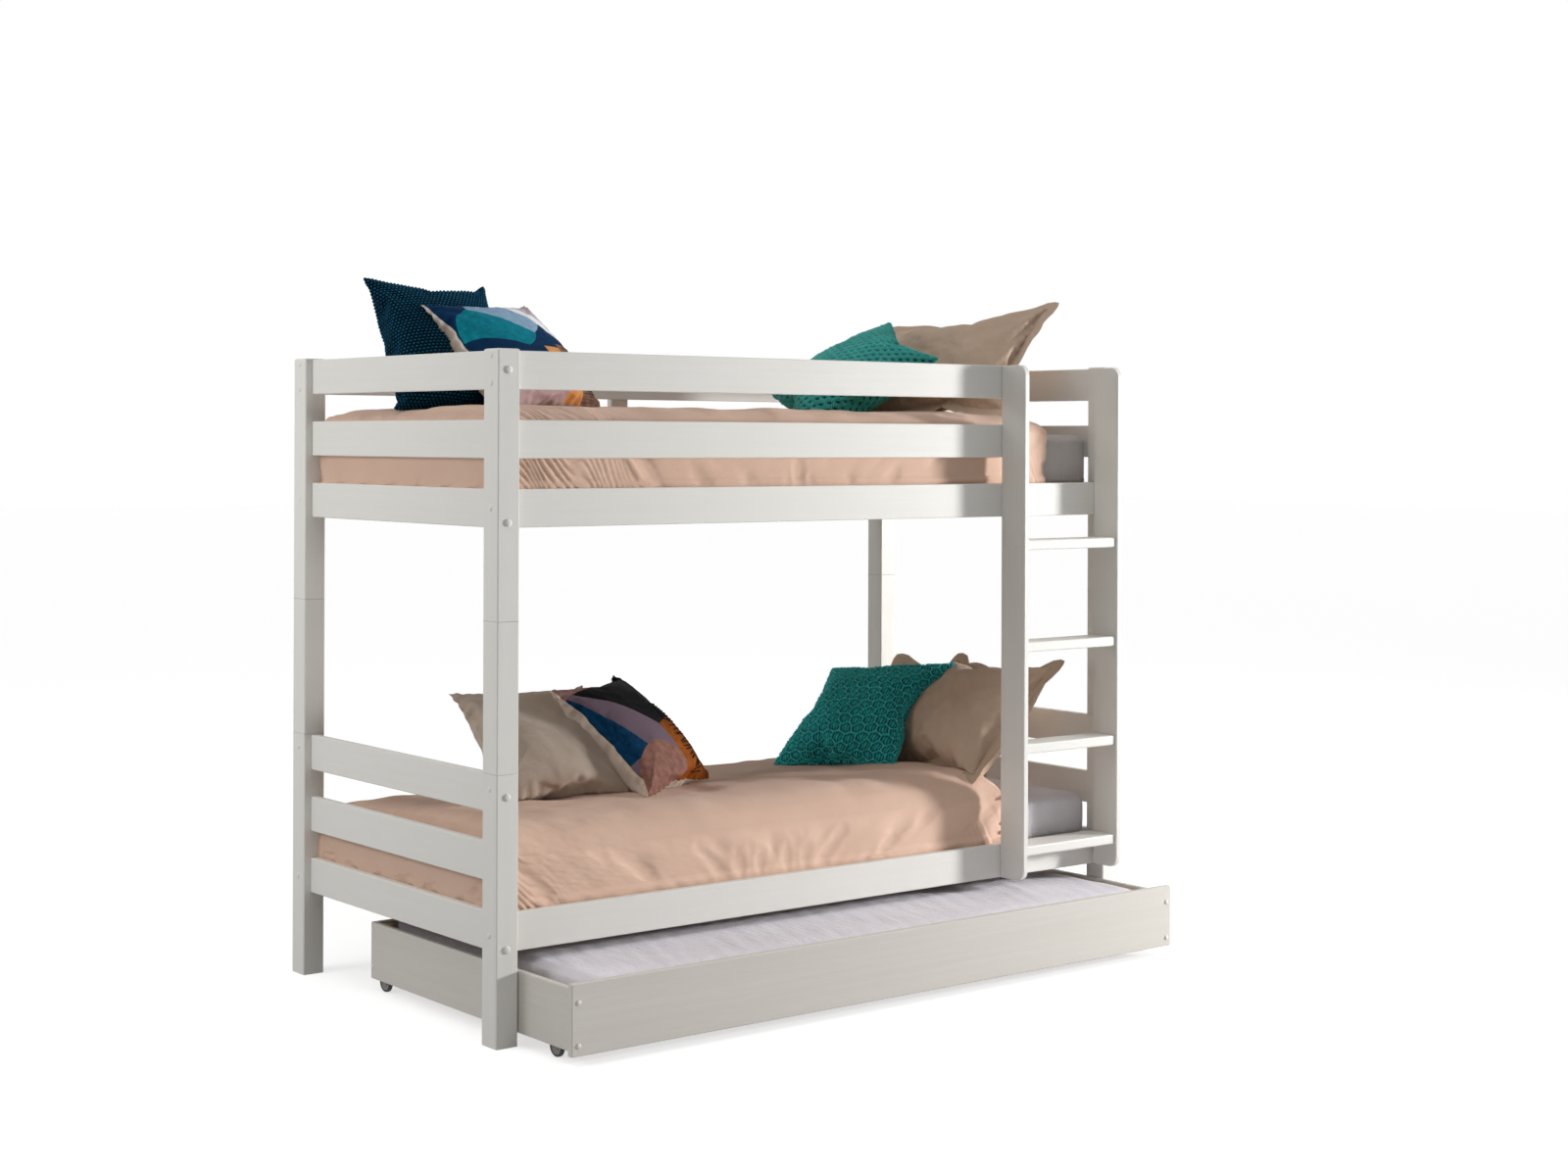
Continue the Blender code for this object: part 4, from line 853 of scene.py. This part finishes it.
class Duvet:
    """A filled cover over a mattress and down its sides, gathered where it is tucked in."""

    CELL, TUCK, INSET, THICKNESS = 0.015, 0.008, 0.0085, 0.010
    SHOULDER, EDGE_DROP = 0.110, 0.70
    PRESSURE, FRAMES, TENSION, BENDING = 0.8, 22, 12.0, 0.8
    SWELL = 0.005

    def __init__(self, name, node, support, growth, seed, folds, fan=False, thinner=0.0):
        self.name, self.node, self.growth, self.seed = name, node, growth, seed
        self.folds, self.fan, self.thinner = folds, fan, thinner
        self.low, self.high = (np.array(corner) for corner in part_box(node))
        self.drop = self.EDGE_DROP * (self.high[2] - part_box(support)[1][2])

    def top(self, x, y):
        """The height of the duvet's upper side, lower round its edges and towards the back."""
        low, high = self.low, self.high
        near = (x - low[0], high[0] - x, y - low[1], high[1] - y)
        rise = [min(1.0, n / self.SHOULDER) for n in near]
        falls = [1 - math.sqrt(max(0.0, 1 - (1 - r) ** 2)) for r in rise]
        fall = min(1.0, math.sqrt(sum(f * f for f in falls)))
        back = min(1.0, max(0.0, (y - low[1]) / (high[1] - low[1]) - 0.25) / 0.55)
        return high[2] - self.drop * fall - self.thinner * back * back * (3 - 2 * back)

    def surface(self):
        low, high = self.low, self.high
        hem = low[2] - self.TUCK
        columns = round((high[0] - low[0]) / self.CELL)
        rows = round((high[1] - low[1]) / self.CELL)
        walls = max(4, round((high[2] - hem) / self.CELL))
        points, faces, flats, index = [], [], [], {}

        def vertex(i, j, wall):
            key = (i, j, wall)
            if key not in index:
                index[key] = len(points)
                x = low[0] + (high[0] - low[0]) * i / columns
                y = low[1] + (high[1] - low[1]) * j / rows
                z = self.top(x, y)
                points.append((x, y, z + (hem - z) * (wall / walls)))
                flats.append((x - low[0] + wall * self.CELL, y - low[1]))
            return index[key]

        for i in range(columns):
            for j in range(rows):
                faces.append([vertex(*spot, 0) for spot in cell(i, j)])
        rim = rim_of(columns, rows)
        for here, there in zip(rim, rim[1:] + rim[:1]):
            for wall in range(walls):
                square = ((here, wall + 1), (there, wall + 1), (there, wall), (here, wall))
                faces.append([vertex(*spot, level) for spot, level in square])
        made = mesh_object(self.name, points, faces, [flats[v] for face in faces for v in face])
        edge = [v for (i, j, wall), v in index.items() if wall == walls]
        made.vertex_groups.new(name="hem").add(edge, 1.0, "REPLACE")
        return made

    def make(self, finish):
        made = self.surface()
        start = points_of(made)
        move = np.zeros_like(start)
        move = inflate(made, self.PRESSURE, self.FRAMES, self.TENSION, self.BENDING,
                       self.growth, "hem") - start
        length = np.maximum(lengths(move), 1e-9)
        move *= self.SWELL * np.tanh(length / self.SWELL) / length
        set_points(made, start + move)
        made.vertex_groups.clear()
        refine(made, 2)
        self.sculpt(made)
        low, high = self.low - (0.002, 0.0005, self.TUCK), self.high + (0.006, 0.0005, 0.010)
        set_points(made, np.clip(points_of(made), low, high))
        shell = made.modifiers.new("thickness", "SOLIDIFY")
        shell.thickness = self.THICKNESS
        shell.offset = -1
        dress(made, finish)
        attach(made, "bed")
        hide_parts(self.node)
        return made

    def sculpt(self, made):
        """Gathers beside the foot posts, folds down the front and long soft waves on top."""
        points, normals = points_of(made), normals_of(made)
        x, y, z = points.T
        from_foot, from_head = x - self.low[0], self.high[0] - x
        upright = unit(1.3 * np.abs(normals[:, 1]))
        ends = unit(1.3 * np.abs(normals[:, 0]))
        flat_top = unit(normals[:, 2]) ** 2
        height = z - self.low[2]
        hem = np.exp(-height / 0.045)
        tilt = 0.35 + 0.9 * np.exp(-from_foot / 0.20)
        turn = (x + tilt * height) / 0.0205 + 0.9 * np.sin(29 * x + self.seed)
        turn += 0.3 * np.sin(71 * x + 30 * z)
        tight = 1 - 2 * np.abs(np.sin(math.pi * turn)) ** 0.8
        strength = bell(from_foot, 0.26) if self.fan else bell(from_foot, 0.11) * (0.25 + 0.75 * hem)
        strength += 0.5 * hem * bell(from_head, 0.12)
        push = -0.0048 * tight * strength * upright
        crossing = x + 0.8 * height - self.low[0]
        for spot, wide, tall in self.folds:
            push += tall * bell(crossing - spot, wide) * upright
        fine = soft_ridges(x + 1.2 * height, z, 0.012, self.seed + 3) * bell(from_foot, 0.45)
        push += 0.0008 * fine * np.maximum(upright, flat_top * bell(y - self.low[1], 0.12))
        push += 0.0028 * soft_ridges(y + 0.5 * z, z, 0.021, self.seed + 1) * ends
        near_edge = np.minimum(y - self.low[1], self.high[1] - y)
        push += 0.0026 * soft_ridges(x + 0.9 * near_edge, y, 0.085, self.seed + 2) * flat_top
        push += 0.0040 * soft_ridges(y * 0.8 + 0.3 * x, x, 0.14, self.seed + 4) * flat_top
        push -= self.INSET * upright * np.clip(height / 0.02, 0.4, 1)
        push_out(made, push)


def make_floor():
    sides = ((-1, -1), (1, -1), (1, 1), (-1, 1))
    made = mesh_object("floor", [(FLOOR_REACH * x, FLOOR_REACH * y, 0) for x, y in sides], [range(4)])
    make = new_material("pale_floor")
    grain = make.noise(make.place(), 40.0, 3.0)
    pale, paler = ((share, share, share, 1) for share in (FLOOR_ALBEDO, FLOOR_ALBEDO * 1.02))
    make.finish(make.mix(grain, pale, paler), 0.9, Specular_IOR_Level=0.1)
    strength = make.times(make.seen(), FLOOR_GLOW)
    glow = make.add("ShaderNodeEmission", {"Color": (1, 1, 1, 1), "Strength": strength})
    both = make.add("ShaderNodeAddShader", {0: make.shader.outputs[0], 1: glow.outputs[0]})
    make.feed(make.tree.nodes["Material Output"].inputs[0], both.outputs[0])
    dress(made, make.owner)


def make_world():
    """White for whatever sees it, and dimmer as a light."""
    make = Nodes(bpy.data.worlds.new("studio"))
    bpy.context.scene.world = make.owner
    background = make.tree.nodes["Background"].inputs
    make.feed(background["Strength"], make.spread(make.seen(), 0.0, 1.0, WORLD_STRENGTH, 1.0))
    make.feed(background["Color"], (1, 1, 1, 1))


def lamp(name, place, size, power):
    light = bpy.data.lights.new(name, "AREA")
    light.shape = "DISK"
    light.size = size
    light.energy = power
    made = put_in_scene(name, light)
    made.location = place
    made.rotation_euler = (Vector(LAMP_TARGET) - Vector(place)).to_track_quat("-Z", "Y").to_euler()


def soft_sky():
    """Wide light from above that is even over the whole floor."""
    light = bpy.data.lights.new("sky", "SUN")
    light.energy = SKY_STRENGTH
    light.angle = SKY_SPREAD
    put_in_scene("sky", light).rotation_euler = SKY_TURN


def make_camera():
    data = bpy.data.cameras.new("camera")
    data.lens = CAMERA_LENS
    data.sensor_width = CAMERA_SENSOR
    data.sensor_fit = "HORIZONTAL"
    data.shift_x, data.shift_y = CAMERA_SHIFT
    made = put_in_scene("camera", data)
    made.location = CAMERA_PLACE
    made.rotation_euler = (math.pi / 2, -CAMERA_ROLL, -CAMERA_TURN)
    bpy.context.scene.camera = made


def along_of(name):
    """The direction of a CAD node's boards."""
    if any(word in name for word in ("post", "block", "upright", "batten")):
        return "Z"
    if any(word in name for word in ("foot_rail", "head_rail", "left_panel", "right_panel")):
        return "Y"
    return "X"


def dress_wood():
    stained = {axis: wood(f"stained_pine_{axis}", axis, *STAINED) for axis in "XYZ"}
    drawer = {axis: wood(f"drawer_pine_{axis}", axis, *DRAWER_DARKER_PINE) for axis in "XY"}
    raw = wood("raw_pine_across", "Y", *RAW_PINE, RAW_ROUGHNESS)
    wheel = wheel_material()
    for name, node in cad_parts.items():
        if any(word in name for word in ("mattress", "duvet", "cushion", "pillow")):
            continue
        if name.startswith("caster_wheel"):
            chosen = wheel
        elif name.endswith("slat_base"):
            chosen = raw
        elif name.startswith("trundle"):
            chosen = drawer[along_of(name)]
        else:
            chosen = stained[along_of(name)]
        for slot in node.material_slots:
            slot.material = chosen


def wheel_material():
    """Black tread and a grey disc inside it, told apart by the distance from the nearest axle."""
    _, front_y, radius = middle_of("caster_wheel_front_left")
    rear_y = middle_of("caster_wheel_rear_left")[1]
    make = new_material("caster_wheel")
    _, y, z = make.split(make.place())
    y = make.minus(y, (front_y + rear_y) / 2)
    y = make.minus(make.math("ABSOLUTE", y), (rear_y - front_y) / 2)
    z = make.minus(z, radius)
    away = make.math("SQRT", make.plus(make.times(y, y), make.times(z, z)))
    scuff = make.noise(make.place(), 260.0, 3.0)
    tread = make.mix(scuff, (0.012, 0.012, 0.013, 1), (0.030, 0.029, 0.028, 1))
    disc = make.mix(scuff, (0.20, 0.20, 0.20, 1), (0.28, 0.28, 0.27, 1))
    colour = make.mix(make.spread(away, radius * 0.77, radius * 0.79), disc, tread)
    return make.finish(colour, make.spread(scuff, 0.3, 0.7, 0.42, 0.62), make.bump(scuff, 0.0002))


# Cushions: width, height and thickness
FOOT_CUSHION = (0.400, 0.400, 0.150)
OPEN_KNIT_CUSHION = (0.430, 0.430, 0.150)
CABLED_CUSHION = (0.450, 0.450, 0.150)
BED_PILLOW = (0.600, 0.460, 0.160)
FRONT_PILLOW = (0.520, 0.480, 0.200)
UPPER_LIFT, LOWER_LIFT = 1.510, 0.520


# Every cushion, from the foot of the upper bed to the head of the lower one
CUSHIONS = (
    ("upper_seed_cushion", "upper_foot_cushions", FOOT_CUSHION, (-0.790, 0.206, -86, 26, -2)),
    ("upper_printed_cushion", "upper_foot_cushions", FOOT_CUSHION, (-0.626, 0.037, -79, 45, 2)),
    ("upper_knit_cushion", "upper_head_knit_cushion", OPEN_KNIT_CUSHION, (0.315, 0.126, 181, 54, -29)),
    ("upper_pillow", "upper_head_pillow", BED_PILLOW, (0.645, 0.026, -169, 42, 3)),
    ("lower_plain_cushion", "lower_foot_cushions", FOOT_CUSHION, (-0.626, -0.035, -100, 51, 0)),
    ("lower_printed_cushion", "lower_foot_cushions", FOOT_CUSHION, (-0.280, -0.069, -62, 48, 0)),
    ("lower_knit_cushion", "lower_head_cushions", CABLED_CUSHION, (0.408, 0.168, -173, 53, 9)),
    ("lower_front_pillow", "lower_head_cushions", FRONT_PILLOW, (0.576, -0.046, -189, 45, 3)),
    ("lower_back_pillow", "lower_head_cushions", BED_PILLOW, (0.672, 0.126, -173, 42, 0)),
)
# How deep a cushion sinks in where not as usual, and how far its upper left ear drops
SINK = {"upper_knit_cushion": 0.062}
SAG = {"upper_pillow": 0.070, "lower_back_pillow": -0.050}
# Knits: the pattern, how often it is subdivided and the depth of its relief
KNITS = {
    "upper_seed_cushion": (seeds, 3, 0.0050),
    "upper_knit_cushion": (lattice, 2, 0.0120),
    "lower_knit_cushion": (honeycomb, 2, 0.0120),
}
# Corners from which folds fan out: at the right, at the top, their reach and number
PLAIN_EARS = ((False, False, 0.10, 9), (True, True, 0.10, 9))
EARS = {
    "upper_pillow": ((True, True, 0.24, 13), (False, False, 0.14, 9), (True, False, 0.14, 9)),
    "lower_front_pillow": ((True, True, 0.20, 11), (True, False, 0.20, 11), (False, False, 0.16, 9)),
    "lower_back_pillow": ((False, True, 0.16, 9),),
}
# The depth of the folds down the faces of loosely filled covers
SLUMP = {"lower_front_pillow": 0.0060, "upper_pillow": 0.0035, "lower_back_pillow": 0.0020,
         "lower_plain_cushion": 0.0016}
# Threads sewn on: left, right, low and high on the flat cloth, spacing, radius and seed
SEWN = {
    "lower_printed_cushion": ("lower_cushion_stitches", "black_thread",
                              0.272, 0.330, 0.030, 0.262, 0.0105, 0.0021, 5),
    "upper_printed_cushion": ("upper_cushion_fringe", "brown_thread",
                              0.335, 0.385, 0.016, 0.190, 0.0060, 0.0017, 8),
}


def stitches(name, piece, left, right, low, high, spacing, radius, seed):
    """Threads laid over a cushion's front from one flat x to another, one above the other."""
    random = np.random.default_rng(seed)
    mesh = piece.data
    layers = column(mesh.polygons, "material_index", kind=int)
    corners = column(mesh.polygons, "loop_total", kind=int)
    owners = column(mesh.loops, "vertex_index", kind=int)
    front = np.unique(owners[np.repeat(layers, corners) == 0])
    flat, points, normals = flat_points(piece)[front], points_of(piece)[front], normals_of(piece)[front]
    paths = []
    for step in range(round((high - low) / spacing)):
        y = low + spacing * step + random.normal(0, spacing * 0.15)
        root = np.array((right + random.normal(0, 0.003), y))
        end = np.array((left + random.normal(0, 0.004), y + random.normal(0, 0.005)))
        path = []
        for share in np.linspace(0, 1, 7):
            spot = root + (end - root) * share
            away = np.hypot(*(flat - spot).T)
            near = np.argsort(away)[:4]
            weight = 1 / (away[near] + 0.001)
            weight /= weight.sum()
            lift = (normals[near] * weight[:, None]).sum(axis=0) * radius * 0.9
            path.append((points[near] * weight[:, None]).sum(axis=0) + lift)
        paths.append(np.array(path))
    return strands(name, paths, radius)


def make_cushions(finishes, supports):
    for row in CUSHIONS:
        cushion = Cushion(*row)
        name, piece = cushion.name, cushion.make()
        wide, tall = cushion.flat_width, cushion.flat_height
        pieces = [piece]
        if cushion.rim:
            pieces.append(dress(flange(name + "_flange", piece, wide, tall), finishes["pillow"]))
        if name in KNITS:
            pattern, levels, depth = KNITS[name]
            refine(piece, levels)
            knit(piece, pattern, wide, tall, depth)
            dress(piece, finishes[name], finishes[name])
        else:
            refine(piece, 1)
            crease(piece, wide, tall, EARS.get(name, PLAIN_EARS), SLUMP.get(name, 0.0))
            front = finishes.get(name, finishes["pillow"])
            dress(piece, front, finishes["pillow" if cushion.rim else "plain"])
        if name in SEWN:
            label, thread, *spots = SEWN[name]
            pieces.append(dress(stitches(label, piece, *spots), finishes[thread]))
        bed, lift = ("upper", UPPER_LIFT) if name.startswith("upper") else ("lower", LOWER_LIFT)
        cushion.put(pieces, lift)
        rest(pieces, supports[bed], SINK.get(name, 0.010))
        for each in pieces:
            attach(each, "bed")
            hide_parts(cushion.node)


def main():
    bpy.context.scene.view_settings.view_transform = "Standard"
    make_camera()
    make_world()
    lamp("key", *KEY_LAMP)
    lamp("fill", *FILL_LAMP)
    soft_sky()
    make_floor()
    dress_wood()
    make_caps(wood("cap_stain", "Z", *STAINED))
    ticking = cloth("white_ticking", rgb(236, 233, 238), rgb(228, 224, 232), TICKING, 0.0022, 0.0030)
    sheet = cloth("grey_sheet", rgb(186, 180, 176), rgb(172, 166, 163), SHEETING, 0.0016, 0.0030)
    peach = cloth("peach_cotton", rgb(224, 190, 169), rgb(219, 184, 162), COTTON, 0.0009)
    finishes = {
        "pillow": cloth("taupe_cotton", rgb(207, 181, 158), rgb(199, 172, 149), COTTON, 0.0020, 0.0020),
        "plain": cloth("natural_linen", rgb(206, 192, 178), rgb(194, 178, 162), LINEN, 0.0018),
        "lower_plain_cushion": cloth("plain_linen", rgb(196, 180, 164), rgb(184, 166, 150), LINEN,
                                     0.0018),
        "black_thread": plain_thread("black_thread", rgb(10, 9, 10)),
        "brown_thread": plain_thread("brown_thread", rgb(150, 122, 104)),
        "upper_printed_cushion": printed("printed_waves", rgb(0, 44, 80), WAVES),
        "lower_printed_cushion": printed("printed_wedges", rgb(108, 92, 104), WEDGES),
        # Each yarn: painted gap shade, the wool's own colour, painted crown highlight
        "upper_seed_cushion": yarn("seed_stitch_wool", rgb(0, 5, 11), rgb(0, 42, 64), rgb(0, 112, 150),
                                   sheen=0.0),
        "upper_knit_cushion": yarn("open_knit_wool", rgb(0, 50, 50), rgb(44, 172, 164),
                                   rgb(112, 206, 196)),
        "lower_knit_cushion": yarn("cabled_wool", rgb(0, 62, 68), rgb(16, 204, 206), rgb(168, 238, 232)),
    }
    mattress("drawer_mattress", "trundle_mattress", ticking, body="trundle")
    lower = [mattress("lower_bed_mattress", "lower_mattress", ticking)]
    upper = [mattress("upper_bed_mattress", "upper_mattress", sheet)]
    duvet = Duvet("upper_bed_duvet", "upper_duvet", "upper_mattress", 0.03, 1.3, UPPER_FOLDS, fan=True)
    upper.append(duvet.make(peach))
    duvet = Duvet("lower_bed_duvet", "lower_duvet", "lower_mattress", 0.02, 4.1, LOWER_FOLDS,
                  thinner=0.040)
    lower.append(duvet.make(peach))
    make_cushions(finishes, {"upper": support_tree(upper), "lower": support_tree(lower)})
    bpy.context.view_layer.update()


main()
